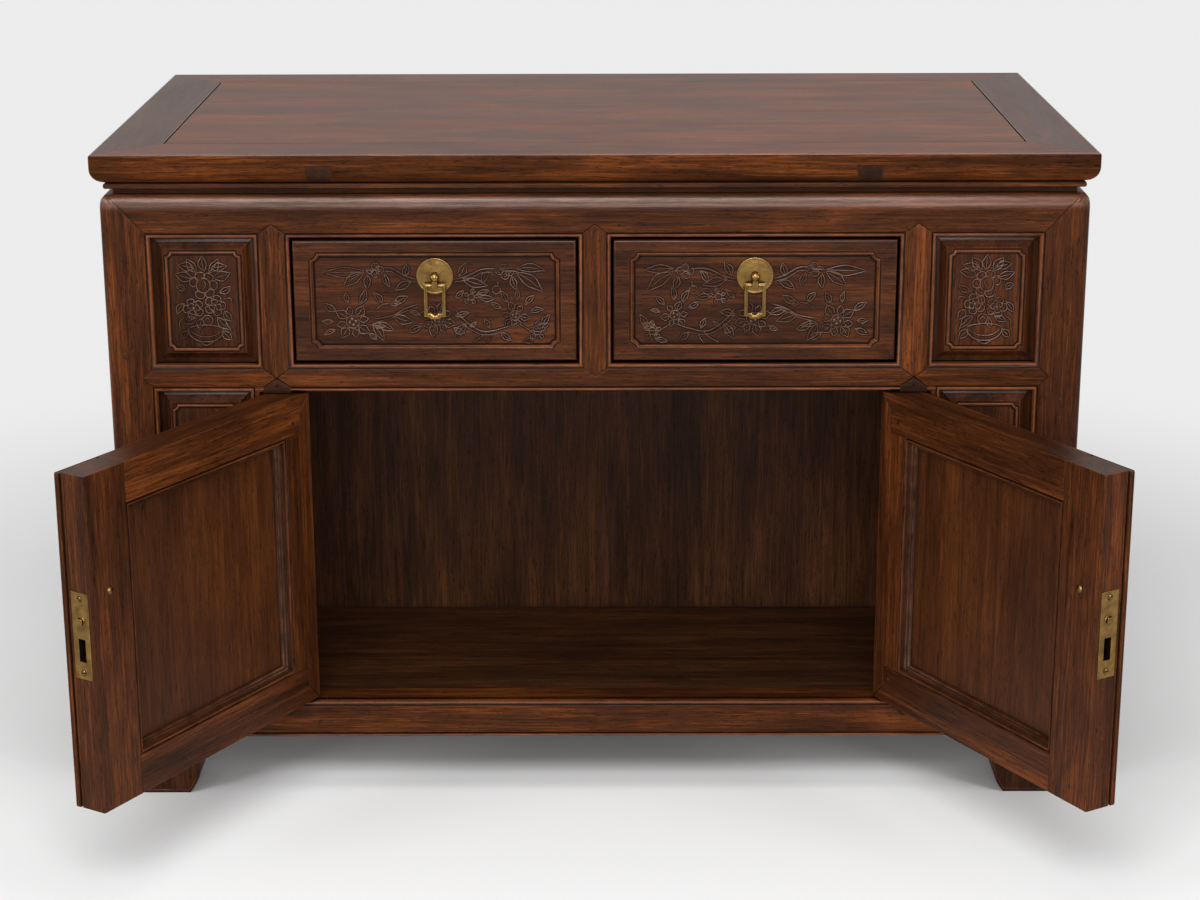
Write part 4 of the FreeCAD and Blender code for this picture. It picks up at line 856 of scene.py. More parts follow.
    # The two ends
    for side in ("left", "right"):
        bm, inner, edge = bmesh.new(), halfDeep - postWide, halfDeep - joinery["post"]
        topRail(bm, halfDeep, inner)
        faceSlab(bm, rectangle(-inner, railLow + bead, inner, floorZ - bead))
        backing(bm, inner - 0.0005, railLow, floorZ)
        finishPiece(bm, f"{side}SideRails", "rolledWood", place=turns[side], nodes=[f"{side}_side_rails"])
        beadRing(f"{side}EndBead", -edge, floorZ, edge, drawerTop, side)
        beadRun(f"{side}EndFootBead", -inner, inner, railLow + bead, side=side)
        bm = covedBoard(-edge, floorZ, edge, drawerTop, frontY + endBoard["sunk"], endBoard["cove"])
        finishPiece(bm, f"{side}EndBoard", "panelWood", "z", place=turns[side], nodes=[f"{side}_end_panel"])


endBoard = {"sunk": 0.0155, "cove": millimetres((2, 0), (4, 0.6), (5, 1.6), (5, 1.9), (4, 1.0), (2, 0.4))}


def covedBoard(x0, z0, x1, z1, edgeY, steps, thickness=0.010):
    bm = prism(rectangle(x0, z0, x1, z1), edgeY, edgeY + thickness)
    face = min(bm.faces, key=lambda f: f.calc_center_median().y)
    for width, rise in steps:
        inset(bm, face, width)
        for vert in face.verts:
            vert.co.y -= rise
    return bm


makeFront()
print("carcass ready")

top = {
    "member": 0.070,
    "underRound": 0.017,
    "arris": 0.0028,
    "endGap": 0.002,         # the dark line at the panel's two ends
    "sideGap": 0.0006,
    "plugWidth": 0.028,
    "plugRise": 0.0195,
    # Width and level under the top of the bead and the waist below it
    "waist": millimetres((21, -7.6), (14, -7), (12.5, -6), (12, -4), (12.4, -1.8), (14, -0.4), (15, 0), (47, 0)),
}
lying = Matrix.Rotation(-math.pi / 2, 4, "X")  # what was drawn upright in X and Z lies down in X and Y
topLow, topHigh = lowest("top_front_member", "z"), highest("top_front_member", "z")
topFront, topBack = lowest("top_front_member", "y"), highest("top_back_member", "y")
topHalf = highest("top_right_end", "x")


def makeTop():
    corners = rectangle(-topHalf, topFront, topHalf, topBack)
    width, under, edge = top["member"], top["underRound"], top["arris"]
    profile = [(width, topLow), *arc((under, topLow + under), under, 270, 180, 7)]
    profile += arc((edge, topHigh - edge), edge, 180, 90, 3)
    profile += [(width - 0.0004, topHigh), (width, topHigh - 0.0004)]
    # The bead and the waist are one mitred strip along each side
    waistline = [(0.047, shoulderZ), (0.021, shoulderZ), *((x, topLow + z) for x, z in top["waist"])]
    names = (("topFrontMember", "waistFront"), ("topRightEnd", "waistRight"), ("topBackMember", "waistBack"),
             ("topLeftEnd", "waistLeft"))
    nodes = ("top_front_member", "top_right_end", "top_back_member", "top_left_end")
    for i, (name, waist) in enumerate(names):
        bm = swept(corners, profile, only=(i, (i + 1) % 4))
        middle = sum((v.co for v in bm.verts), Vector()) / len(bm.verts)
        # A hair shorter than the corners, so that the mitres show
        shrink, finish, grain = ((1, 1, 0.9995), "topEndWood", "z") if i % 2 else ((0.9997, 1, 1), "topWood", "x")
        about = Matrix.Translation(middle) @ Matrix.Diagonal((*shrink, 1)) @ Matrix.Translation(-middle)
        bmesh.ops.transform(bm, matrix=about, verts=bm.verts)
        piece = finishPiece(bm, name, finish, grain, place=lying, nodes=[nodes[i]])
        refinish(piece, "edgeWood", lambda f: f.normal.z < 0.30)
        refinish(piece, "arrisWood", lambda f: 0.30 <= f.normal.z < 0.97)
        bm = swept(corners, waistline, only=(i, (i + 1) % 4))
        finishPiece(bm, waist, "frameWood", grain, place=lying, nodes=() if i else ["waist_frame"], angle=40)

    panelX = topHalf - width - top["endGap"]
    y0, y1 = topFront + width + top["sideGap"], topBack - width - top["sideGap"]
    bm = bmesh.new()
    addBlock(bm, (-panelX, y0, topHigh - 0.006), (panelX, y1, topHigh), 0.0005)
    addBlock(bm, (-panelX - 0.009, y0 - 0.009, topHigh - 0.012), (panelX + 0.009, y1 + 0.009, topHigh - 0.0062))
    finishPiece(bm, "topPanel", "topWood", nodes=["top_panel"])

    # Ends of the battens' tenons, flush in the rounded front edge; each narrows towards the underside
    centreX = (max(v.co.x for v in frame["nodes"]["top_battens"].data.vertices) * 2 - top["plugWidth"]) / 2
    rise = top["plugRise"]
    for label, spread, proud, finish in (("Groove", 0.0005, 0.00012, "shadeAndSeamWood"), ("End", 0, 0.00028, "plugWood")):
        outline = arc((topFront + under, topLow + under), under + proud, 262, 180, 8)
        outline += [(topFront - proud, topLow + rise + spread), (topFront + 0.004, topLow + rise + spread)]
        outline += [(topFront + 0.016, topLow + 0.003)]
        for side, name in bothSides:
            half = top["plugWidth"] / 2 + spread
            bm = prism(outline, -side * centreX - half, -side * centreX + half)
            for vert in bm.verts:
                fall = min(1, max(0, topLow + rise - 0.003 - vert.co.z) / (rise - 0.003))
                vert.co.y = -side * centreX + (vert.co.y + side * centreX) * (1 - 0.36 * fall ** 1.6)
            finishPiece(bm, f"{name}Batten{label}", finish, place=Matrix.Rotation(math.pi / 2, 4, "Z"))


makeTop()
print("top ready")

# Carving: raised lines for stems, leaves, petals and berries
carving = {
    "line": 0.0021,      # width of a raised line
    "rise": 0.0014,
    "ground": 1.6,       # painted shade on the ground on both sides, for each unit of the line's width
    "parts": 4,
    "section": ((-1.1, -0.5), (-0.75, 0.45), (-0.1, 1.0), (0.35, 0.85), (0.8, 0.35), (1.1, -0.5)),
}


def strip(path, section, level, taper):
    # A thin bar along the path, thinner at its ends; the section is (across, up)
    moves, count = mitres(path, False), len(path)

    def at(i, k):
        t = i / (count - 1)
        size = min(1, taper + (1 - taper) * min(t, 1 - t) * 5)
        point = path[i] + moves[i] * (section[k][0] * size)
        return Vector((point.x, level - section[k][1] * size, point.y))

    bm = carried(at, range(count), len(section), False)
    outward(bm)
    return intoMesh(bm, "stroke")


def toward(angle):
    return Vector((math.cos(angle), math.sin(angle)))


class Carver:
    # Draws in millimetres of X and Z round a middle point, on a surface that faces the viewer at a level
    def __init__(self, middle, level, luck, scale, flip):
        self.middle, self.level, self.luck = Vector(middle), level, luck
        self.scale, self.flip = scale, flip
        self.strokes, self.grounds, self.domes = [], [], []

    def put(self, point):
        return self.middle + Vector((point[0] * self.flip, point[1])) * (self.scale / 1000)

    def line(self, points, width=1.0, parts=carving["parts"], taper=0.3):
        # One raised line through the points, with painted shade on the ground beside it
        path = [self.put(p) for p in smoothLine(points, parts)]
        wide, rise = carving["line"] * width / 2, carving["rise"] * min(width, 1.2)
        self.strokes.append(strip(path, [(x * wide, z * rise) for x, z in carving["section"]], self.level, taper))
        # Each band of painted shade lies a hair above the last, so that no two are level
        edge, lift = wide * carving["ground"], 0.0001 + 0.0000004 * (len(self.grounds) % 60)
        section = [(-edge, -0.0003), (-edge, lift), (edge, lift), (edge, -0.0003)]
        self.grounds.append(strip(path, section, self.level, 0.4))

    def lines(self, *items):
        for width, *points in items:
            self.line(points, width)

    def finish(self, name, body, grain):
        # The raised lines take the lighter carved wood (painted highlight), the ground beside them near black
        # (painted shade)
        for parts, label, finish in ((self.strokes + self.domes, "", "litCarvedWood"),
                                     (self.grounds, "Ground", "shadeAndSeamWood")):
            bm = bmesh.new()
            for mesh in parts:
                joinMesh(bm, mesh)
            finishPiece(bm, name + label, finish, grain, body, angle=60)

    def leaf(self, base, tip, belly, bend, rib=True):
        # A pointed leaf with its midrib; belly and bend are shares of its length
        base, tip = Vector(base), Vector(tip)
        along = tip - base
        side = Vector((-along.y, along.x))
        curve = side * bend
        near, middle, far = base + along * 0.22, base + along * 0.5 + curve, base + along * 0.8
        for turn in (1, -1):
            self.line([base, near + curve * 0.6 + side * belly * 0.62 * turn, middle + side * belly * turn,
                       far + curve * 0.6 + side * belly * 0.48 * turn, tip], 0.9)
        if rib:
            end = base + along * 0.82 + curve * 0.5
            self.line([base + along * 0.05, near + curve * 0.6, middle, end], 0.72, 3)

    def uneven(self, base, tip, belly, bend):
        # A leaf whose belly and bend vary a little
        self.leaf(base, tip, belly * self.luck.uniform(0.85, 1.15), self.luck.uniform(-bend, bend))

    def leaves(self, centre, reach, turns, start):
        # Leaves that spread from one point, each turn in degrees
        for turn in turns:
            away, length = toward(math.radians(turn)), reach * self.luck.uniform(0.88, 1.1)
            self.uneven(Vector(centre) + away * reach * start, Vector(centre) + away * length, 0.2, 0.09)

    def petal(self, centre, turn, reach, spread, inner):
        # One rounded petal, open towards the centre
        shape = ((inner, -0.55), (0.66, -1), (0.93, -0.62), (1, 0), (0.93, 0.62), (0.66, 1), (inner, 0.55))
        points = [Vector(centre) + toward(turn + off * spread) * radius * reach for radius, off in shape]
        self.line(points, 0.9, 3, 0.5)

    def ring(self, centre, radius, width=0.8, start=0.0, sweepBy=360, squash=1.0):
        turns = arc((0, 0), radius, start, start + sweepBy, sweepBy // 40)
        self.line([Vector(centre) + Vector((x, z * squash)) for x, z in turns], width, 2, 0.8)

    def berry(self, centre, radius):
        # A small raised dome
        point, size = self.put(centre), radius * self.scale / 1000
        place = Matrix.Translation((point.x, self.level, point.y)) @ Matrix.Diagonal((size, size * 0.5, size, 1))
        bm = bmesh.new()
        bmesh.ops.create_uvsphere(bm, u_segments=10, v_segments=6, radius=1, matrix=place)
        self.domes.append(intoMesh(bm, "berry"))

    def blossom(self, centre, reach, petals, turn, berries):
        # Pointed petals of two lengths round a few small seeds
        centre = Vector(centre)
        for n in range(petals):
            away = toward(turn + 2 * math.pi * n / petals) * reach
            length, bend = (1.04, -0.06) if n % 2 else (0.86, 0.06)
            self.leaf(centre + away * 0.36, centre + away * length, 0.36, bend, bend < 0)
        self.ring(centre, reach * 0.34)
        for n in range(berries):
            self.berry(centre + toward(turn + 2 * math.pi * n / berries) * reach * 0.17, reach * 0.085)

    def peony(self, centre, reach, turn):
        # Broad overlapping petals in two rows
        for count, share, spread, inner in ((5, 1.0, 0.56, 0.60), (3, 0.58, 0.80, 0.34)):
            for n in range(count):
                self.petal(centre, turn + share + 2 * math.pi * n / count, reach * share, spread, inner)
        self.berry(centre, reach * 0.14)

    def cluster(self, centre, reach):
        # Four round fruits side by side, each with its eye
        for n in range(4):
            swing = math.pi / 2 * n + self.luck.uniform(-0.2, 0.2)
            spot = Vector(centre) + Vector((math.cos(swing), math.sin(swing) * 0.75)) * reach * 0.52
            self.ring(spot, reach * self.luck.uniform(0.34, 0.42), 0.85, self.luck.uniform(0, 360), 320)
            self.ring(spot, reach * 0.16, 0.6, self.luck.uniform(0, 360), 240)


carvedPanel = {
    "sunk": 0.012,        # how far the panel's edge lies behind the front
    "margin": 0.0150,
    "notch": 0.0055,
    # A dark strip on both sides of the ring: painted shade in its grooves
    "ground": millimetres((-1.2, -0.3), (-1.2, 0.08), (4.8, 0.08), (4.8, -0.3)),
    # Width and rise of each step from the edge up to the field
    "cove": millimetres((1.2, 0), (2.2, 0.3), (2.6, 1.1), (2.6, 2.2), (2.4, 2.7), (1.6, 2.2)),
    "ring": millimetres((0, -0.4), (0, 0.2), (0.3, 0.8), (0.9, 1.4), (1.7, 1.6), (2.5, 1.3), (3.1, 0.6), (3.3, 0),
                        (3.3, -0.4)),
}
panelRise = sum(rise for _, rise in carvedPanel["cove"])


def slopesUp(limit):
    # The faces of a panel's cove that look up and catch the light
    return lambda face: face.normal.z > 0.3 and -limit < face.normal.y < -0.2


def bouquet(name, x, z, size, level, flip, tall=False):
    # Flowers and leaves in a round bowl; on a tall panel a flowering branch grows on above them
    luck = random.Random(name)
    pen = Carver((x, z), level, luck, size, flip)
    # The bowl, its rim and its foot
    pen.lines(
        (1.0, (-16, -26), (-12, -24), (0, -22.5), (12, -24), (16, -26)),
        (1.2, (-16, -26), (-15, -32), (-8, -37.5), (0, -38.6), (8, -37.5), (15, -32), (16, -26)),
        (0.9, (-14, -28.6), (-7, -33), (0, -34), (7, -33), (14, -28.6)), (1.0, (-7, -38.6), (0, -42.0), (7, -38.6)))
    # Blossoms one above the other
    pen.ring((0.5, 15), 6.4, 0.95, 80, 330, 1.1)
    pen.line([(0.5, 20), (-1.8, 16), (0.5, 11.5)], 0.8, 3)
    for turn in (20, 72, 125, 178, 232, 290):
        pen.petal((0.5, 15), math.radians(turn), 13.0, 0.50, 0.56)
    pen.peony((-9.5, -4), 9.8, 0.9)
    pen.peony((10.5, -7), 9.6, 0.2)
    pen.ring((-2, -18), 4.8, 0.85, 20, 320)
    pen.line([(-5, -19.5), (-2, -16), (1.2, -19)], 0.7, 3)
    # Leaves between and above them
    for x0, z0, x1, z1 in (
        (-1, 28, 0.5, 43), (-5, 27, -14, 40), (6, 27, 15, 40), (-9, 22, -25, 27), (10, 21, 26, 26),
        (-14, 8, -25, 14), (-7, 31, -22, 33), (8, 31, 23, 34), (19, -2, 26, -12), (-18, -9, -25, -19),
        (-11, -15, -22, -27),
        (8, -16, 20, -21), (3, -16, 6, -27), (-15, -28, -24, -37), (16, -28, 24, -36), (17, 10, 26, 15),
    ):
        pen.uneven((x0, z0), (x1, z1), 0.26, 0.1)
    pen.lines((0.8, (-18, -21), (-22, -25), (-24, -31)), (0.8, (20, -16), (24, -20), (24, -27)),
              (0.8, (-18, 2), (-24, 3), (-25, -2)))
    if tall:
        pen.line([(2, 44), (-4, 60), (3, 78), (10, 96), (2, 116), (-6, 134), (0, 150)], 1.2, 6)
        pen.line([(5, 44), (-1, 60), (6, 77), (13, 96), (5, 117), (-3, 134)], 0.8, 6)
        for x, z, reach in ((-9, 66, 10), (14, 86, 9), (-9, 108, 10.5), (6, 134, 9), (-4, 158, 7.5)):
            pen.peony((x, z), reach, luck.uniform(0, 1))
        for x0, z0, x1, z1 in (
            (0, 54, 14, 62), (-2, 52, -17, 48), (9, 74, 24, 68), (2, 80, -16, 84), (-2, 88, -22, 94),
            (14, 97, 25, 106), (8, 104, 20, 118), (-14, 118, -23, 128), (-6, 124, -20, 140), (10, 144, 22, 150),
            (14, 128, 25, 132), (2, 166, 10, 178), (-8, 166, -14, 178), (-12, 152, -24, 156), (-4, 60, -20, 60),
        ):
            pen.uneven((x0, z0), (x1, z1), 0.25, 0.1)
    pen.finish(name, "cabinet", "z")


def makeSidePanels():
    sunk, m, notch = (carvedPanel[k] for k in ("sunk", "margin", "notch"))
    level = frontY + sunk - panelRise
    for side, name in bothSides:
        for row, z0, z1, edge in (("upper", midHigh, drawerTop, stileOut), ("lower", floorZ, midLow, jambOut)):
            x0, x1 = sorted((-side * postIn, -side * edge))
            label = f"{name}{row.title()}"
            bm = covedBoard(x0, z0, x1, z1, frontY + sunk, carvedPanel["cove"])
            piece = finishPiece(bm, label + "Panel", "panelWood", "z", nodes=[f"{name}_{row}_panel"])
            # Painted highlight: the cove's up-facing faces take a lighter, shinier copy of the panel wood
            refinish(piece, "litSlopeAndPegWood", slopesUp(0.95))
            path = notched(x0 + m, z0 + m, x1 - m, z1 - m, notch)
            trim(label + "PanelFrame", path, carvedPanel["ring"], level)
            # Painted shade: a dark strip along both sides of the frame's ring
            trim(label + "PanelFrameGround", path, carvedPanel["ground"], level, "shadeAndSeamWood")
            # The drawing is as large as the field inside the frame lets it be
            drawn, raised = (0.086, 0) if row == "upper" else (0.226, 0.068)
            size = min((x1 - x0 - 2 * m - 0.010) / 0.052, (z1 - z0 - 2 * m - 0.010) / drawn)
            middle = (x0 + x1) / 2, (z0 + z1) / 2 - raised * size
            bouquet(label + "Bouquet", *middle, size, level, side, row == "lower")


makeSidePanels()
print("front panels ready")

drawer = {
    "marginX": 0.0172,
    "marginZ": 0.0125,
    "seam": 0.00016,         # half width of the lines across the margin's corners
    "sunk": 0.003,
    "notch": 0.0078,
    "thickness": 0.020,
    "round": 0.0028,
    "ring": millimetres((0, -3.4), (0, -0.4), (0.3, -1.3), (1.1, -1.6), (1.5, -0.5), (2.0, 0.5), (2.7, 0.9),
                        (3.4, 0.5), (3.9, -0.4), (4.2, -1.4), (4.7, -1.5), (5.1, -2.4), (5.4, -3.4)),
    # A dark strip beside the ring: painted shade in its groove
    "ground": millimetres((5.0, -3.4), (5.0, -2.9), (7.2, -2.9), (7.2, -3.4)),
}


def makeDrawerFronts():
    m, n, sunk = (drawer[k] for k in ("marginX", "marginZ", "sunk"))
    for name in ("left", "right"):
        (x0, y0, z0), (x1, _, z1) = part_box(f"{name}_drawer_front")
        label, body = f"{name}DrawerFront", f"{name}_drawer"
        corners = rectangle(x0, z0, x1, z1)
        bm = bmesh.new()
        addBlock(bm, (x0, y0 + sunk, z0), (x1, y0 + drawer["thickness"], z1))
        # The margin is a plate with a notched hole
        path = notched(x0 + m, z0 + n, x1 - m, z1 - n, drawer["notch"])
        plate = holedPlate((corners, path), y0, sunk + 0.0002)

        def outside(v):
            sides = (v.co.x - x0, v.co.x - x1, v.co.z - z0, v.co.z - z1)
            return abs(v.co.y - y0) < 1e-6 and min(abs(s) for s in sides) < 1e-6
        softenEdges(plate, lambda e: all(outside(v) for v in e.verts) and bent(e, 1), drawer["round"], 4)
        joinInto(bm, plate)
        piece = finishPiece(bm, label, "panelWood", body=body, nodes=[f"{name}_drawer_front"], angle=28)
        # Painted highlight: the upper bevel's faces take a lighter, shinier copy of the panel wood
        refinish(piece, "litSlopeAndPegWood", slopesUp(0.97))
        seams = bmesh.new()
        for (x, z), toX, toZ in zip(corners, (1, -1, -1, 1), (1, 1, -1, -1)):
            start = Vector((x, z)) + Vector((toX, toZ)) * 0.0032
            end = Vector((x + toX * (m + 0.0008), z + toZ * (n + 0.0036)))
            across = Vector((start.y - end.y, end.x - start.x)).normalized() * drawer["seam"]
            line = [start - across, end - across, end + across, start + across]
            joinInto(seams, prism(line, y0 - 0.00006, y0 + 0.001))
        finishPiece(seams, label + "Seams", "shadeAndSeamWood", body=body)
        trim(label + "Frame", path, drawer["ring"], y0, body=body)
        # Painted shade: a dark strip beside the frame's ring
        trim(label + "FrameGround", path, drawer["ground"], y0, "shadeAndSeamWood", body)


def drawerCarving(name, flip):
    (x0, y0, z0), (x1, _, z1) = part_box(f"{name}_drawer_front")
    luck = random.Random(name + "Branches")
    pen = Carver(((x0 + x1) / 2, (z0 + z1) / 2), y0 + drawer["sunk"], luck, 1.0, flip)
    # Branches, each a pair of lines
    pen.lines(
        (1.1, (-21, 24), (-34, 29), (-48, 37), (-60, 37)), (0.8, (-21, 21), (-36, 25.5), (-48, 33), (-58, 33)),
        (1.1, (21, 24), (36, 28), (52, 35.5), (70, 36)), (0.8, (22, 21), (38, 24.5), (52, 31.5), (66, 32)),
        (1.1, (-19, -4), (-34, -9), (-48, -17), (-70, -21)), (0.8, (-20, -8), (-36, -13), (-50, -20), (-66, -24)),
        (1.1, (20, -8), (34, -24), (52, -35), (72, -32), (92, -25)),
        (0.8, (18, -12), (32, -28), (52, -39), (74, -36)), (1.0, (56, -36), (50, -42), (40, -48)),
        (0.9, (62, -37), (60, -43), (56, -49)), (1.0, (-62, 35), (-78, 34)),
        (1.0, (78, 34), (92, 33)), (0.9, (-66, -10), (-58, -4), (-50, -3)), (1.0, (92, -26), (104, -34), (112, -40)))
    # Fruit and buds along the upper branches
    pen.cluster((-66, 35), 10.5)
    pen.cluster((77, 33), 11)
    pen.ring((68, 12), 4.4, 0.8, 60, 330)
    pen.line([(70, 22), (69, 17)], 0.8)
    # Large blossoms and their leaves
    for x, z, reach, petals, turn, berries in (
        (-92, -24, 21, 8, 0.2, 4), (2, -21, 20, 8, 0.5, 4), (88, -17, 16, 6, 0.9, 3), (113, -35, 12, 5, 0.3, 0),
        (40, 4, 10, 5, 0.1, 0),
    ):
        pen.blossom((x, z), reach, petals, turn, berries)
    pen.leaves((-92, -24), 38, (68, 102, 146, 178, 205, 322, 352), 0.56)
    pen.leaves((2, -21), 36, (205, 332, 165, 12), 0.55)
    pen.leaves((88, -17), 32, (84, 46, 118, 12, 150), 0.52)
    for x0, z0, x1, z1, belly in (
        (-78, 34, -123, 33, 0.13), (-78, 32, -101, 16, 0.2), (-74, 30, -75, 13, 0.22), (-34, 27, -30, 42, 0.24),
        (-26, 22, -44, 12, 0.2), (-56, 31, -50, 16, 0.2), (26, 27, 34, 43, 0.24), (30, 25, 58, 17, 0.17),
        (90, 36, 122, 34, 0.15), (90, 32, 119, 10, 0.18), (85, 28, 90, 12, 0.22), (60, 34, 52, 19, 0.2),
        (-50, -4, -38, -2, 0.24), (-48, -16, -24, -24, 0.2), (-46, -4, -30, 5, 0.22), (-58, -3, -68, 9, 0.22),
        (22, 2, 32, 12, 0.2), (48, 4, 66, 2, 0.2), (46, 8, 60, 12, 0.2), (34, -26, 22, -44, 0.2),
        (60, -32, 54, -20, 0.22), (72, -36, 84, -46, 0.2), (106, -34, 126, -26, 0.2), (110, -44, 96, -47, 0.2),
        (118, -30, 127, -16, 0.2), (-64, -24, -46, -34, 0.2), (-70, -27, -58, -46, 0.2), (38, -30, 46, -24, 0.2),
    ):
        pen.leaf((x0, z0), (x1, z1), belly, luck.uniform(-0.08, 0.08))
    pen.finish(f"{name}DrawerBranches", f"{name}_drawer", "x")


makeDrawerFronts()
drawerCarving("left", 1)
drawerCarving("right", -1)
print("drawer fronts ready")

# Doors, drawn closed with X from the pivot to the free edge, then swung open
door = {
    "openAngle": 121.0,
    "hingeEdge": -0.018,
    "hingeStile": 0.044,
    "reach": 0.355,
    "freeStile": 0.063,
    "rail": 0.044,
    "outer": -0.0088,        # Y of the outer face and of the inner one
    "inner": 0.0292,
    "soft": 0.0006,          # eased edges
    "hingeRound": 0.005,
    "lipReach": 0.0025,
    "lipThickness": 0.006,
    "lipRound": 0.0032,
    # The bolt's opening in the edge: depth from and to, level from and to
    "slot": (0.0086, 0.0178, 0.284, 0.309),
    "slotDeep": 0.012,
    "pegs": ((0.3199, 0.4648), (0.0130, 0.4557), (0.0112, 0.1481), (0.3236, 0.1357)),
    "pegRadius": 0.0027,
    "rivet": (0.3240, 0.3562),
    "jointIn": 0.0187,       # the half mitres at the hinge side
    "jointDown": 0.0205,
    "panelSunk": 0.012,
    "outerPanelSunk": 0.014,
    # Width into the opening and height above the inner face
    "moulding": millimetres(
        (0, -13), (0, -0.6), (0.4, -2.2), (1.2, -2.6), (1.6, -1.2), (2.3, -0.2), (3.3, -0.2), (4.1, -1.2),
        (4.5, -3.2), (5.1, -4.6), (6.3, -4.8), (7.8, -5.6), (8.9, -7.2), (9.5, -9.2), (10.4, -9.8), (11.2, -10.6),
        (11.6, -13)),
}
hinges = {j["name"]: Vector(j["pos_m"]) for j in frame["joints"] if j["name"].endswith("_door_hinge")}
outerY, innerY, doorReach, hingeX = (door[k] for k in ("outer", "inner", "reach", "hingeEdge"))
doorLow, doorHigh = lowest("left_door_free_stile", "z"), highest("left_door_free_stile", "z")
# The opening inside the door's frame, the corner of its half mitres, and the step behind its lip
openX0, openX1 = hingeX + door["hingeStile"], doorReach - door["freeStile"]
openZ0, openZ1 = doorLow + door["rail"], doorHigh - door["rail"]
cornerX, cornerZ = hingeX + door["jointIn"], doorHigh - door["jointDown"]
stepX, stepY = doorReach - door["lipReach"], outerY + door["lipThickness"]
sunkY = outerY + door["outerPanelSunk"]


def doorPlace(side, name):
    pivot = hinges[f"{name}_door_hinge"]
    turned = Matrix.Rotation(math.radians(side * door["openAngle"]), 4, "Z")
    return Matrix.Translation((pivot.x, pivot.y, 0)) @ turned @ Matrix.Diagonal((-side, 1, 1, 1))


def addCone(bm, place, radius, depth, segments, taper=1.0):
    bmesh.ops.create_cone(bm, cap_ends=True, segments=segments, radius1=radius, radius2=radius * taper, depth=depth,
                          matrix=place)


def addPeg(holes, ends, place, radius, facing=-1):
    # A peg's worn end, with the dark line round it; facing is the way it faces along Y
    turned = Matrix.Rotation(-facing * math.pi / 2, 4, "X")
    rows = [(holes, radius, 0.00012), (ends, radius * 0.78, 0.00032), (holes, radius * 0.36, 0.0004)]
    for bm, size, rise in rows if ends else rows[:1]:
        seat = Matrix.Translation(Vector(place) + Vector((0, facing * (rise - 0.0006), 0)))
        addCone(bm, seat @ turned, size, 0.0012, 20, 0.9)


frontPegs = {"radius": 0.0027, "blockDot": 0.0014, "spots": ((0.5222, 0.5282), (0.5200, 0.4793))}


def makePegs():
    holes, ends = bmesh.new(), bmesh.new()
    for side in (-1, 1):
        for x, z in frontPegs["spots"]:
            addPeg(holes, ends, (side * x, frontY, z), frontPegs["radius"])
        addPeg(holes, None, (side * stileMid, frontY - 0.0003, midLow + 0.0069), frontPegs["blockDot"])
    finishPiece(holes, "frontPegGrooves", "shadeAndSeamWood")
    finishPiece(ends, "frontPegEnds", "litSlopeAndPegWood")


def spun(outline, steps):
    # outline is (radius, height towards the viewer), turned about Y
    bm = bmesh.new()
    verts = [bm.verts.new((radius, -rise, 0)) for radius, rise in outline]
    edges = [bm.edges.new(pair) for pair in zip(verts, verts[1:])]
    bmesh.ops.spin(bm, geom=verts + edges, cent=(0, 0, 0), axis=(0, 1, 0), angle=2 * math.pi, steps=steps,
                   use_merge=True)
    bmesh.ops.remove_doubles(bm, verts=bm.verts, dist=1e-6)
    outward(bm)
    return bm


lock = {
    "face": 0.3525,
    "proud": 0.0004,
    "thickness": 0.0016,
    "plate": (0.0017, 0.265, 0.0247, 0.360),     # depth and level of its two far corners
    "stud": (0.0132, 0.3285),
    "studSide": 0.0070,
    "studReach": 0.0030,
    "screws": (0.272, 0.353),
    # Radius and height of the round parts
    "collar": millimetres((0, -1), (5.6, -1), (5.6, 0.1), (5.2, 0.5), (4.6, 0.6), (4.2, 0.3), (0, 0.3)),
    "seat": millimetres((0, -0.5), (3.4, -0.5), (3.4, 0.1), (0, 0.1)),
    "head": millimetres((0, -0.5), (2.7, -0.5), (2.7, 0.3), (2.0, 0.6), (0, 0.8)),
}


def makeLock(name, place):
    # Drawn facing the viewer, with X across the door's edge, then turned to face out of it
    turned = place @ Matrix.Translation((lock["face"], 0, 0)) @ Matrix.Rotation(math.pi / 2, 4, "Z")
    front, (y0, y1, z0, z1), (across, level) = -lock["proud"], door["slot"], lock["stud"]
    loops, dark = (rectangle(*lock["plate"]), rectangle(y0, z0, y1, z1)), bmesh.new()
    plate = holedPlate(loops, front, lock["thickness"])
    softenEdges(plate, lambda e: atDepth(front)(e) and bent(e, 1), 0.0003)
    joinInto(plate, spun(lock["collar"], 32), Matrix.Translation((across, front, level)))
    for z in lock["screws"]:
        seat = Matrix.Translation((across, front, z))
        # Painted shade: a dark ring round each screw's head and a dark bar for its slot
        joinInto(dark, spun(lock["seat"], 28), seat)
        joinInto(plate, spun(lock["head"], 28), seat)
        joinInto(dark, block((-0.0025, -0.0010, -0.0004), (0.0025, 0.0002, 0.0004)),
                 seat @ Matrix.Rotation(0.7 + 9 * z, 4, "Y"))
    half, out = lock["studSide"] / 2, lock["studReach"]
    stud = block((across - half, -out, level - half), (across + half, 0.008, level + half))
    softenEdges(stud, lambda e: min(v.co.y for v in e.verts) < 1e-6 - out
                or abs(e.verts[0].co.y - e.verts[1].co.y) > 0.001, 0.0011, 3)
    for bm, label, finish, body, node, angle in (
        (plate, "Plate", "agedBrass", "door", "plate", 32), (dark, "Grooves", "shadeAndSeamWood", "door", None, 17),
        (stud, "Stud", "agedBrass", "lock_stud", "stud", 32),
    ):
        nodes = [f"{name}_door_lock_{node}"] if node else ()
        finishPiece(bm, f"{name}DoorLock{label}", finish, "x", f"{name}_{body}", turned, nodes, angle)


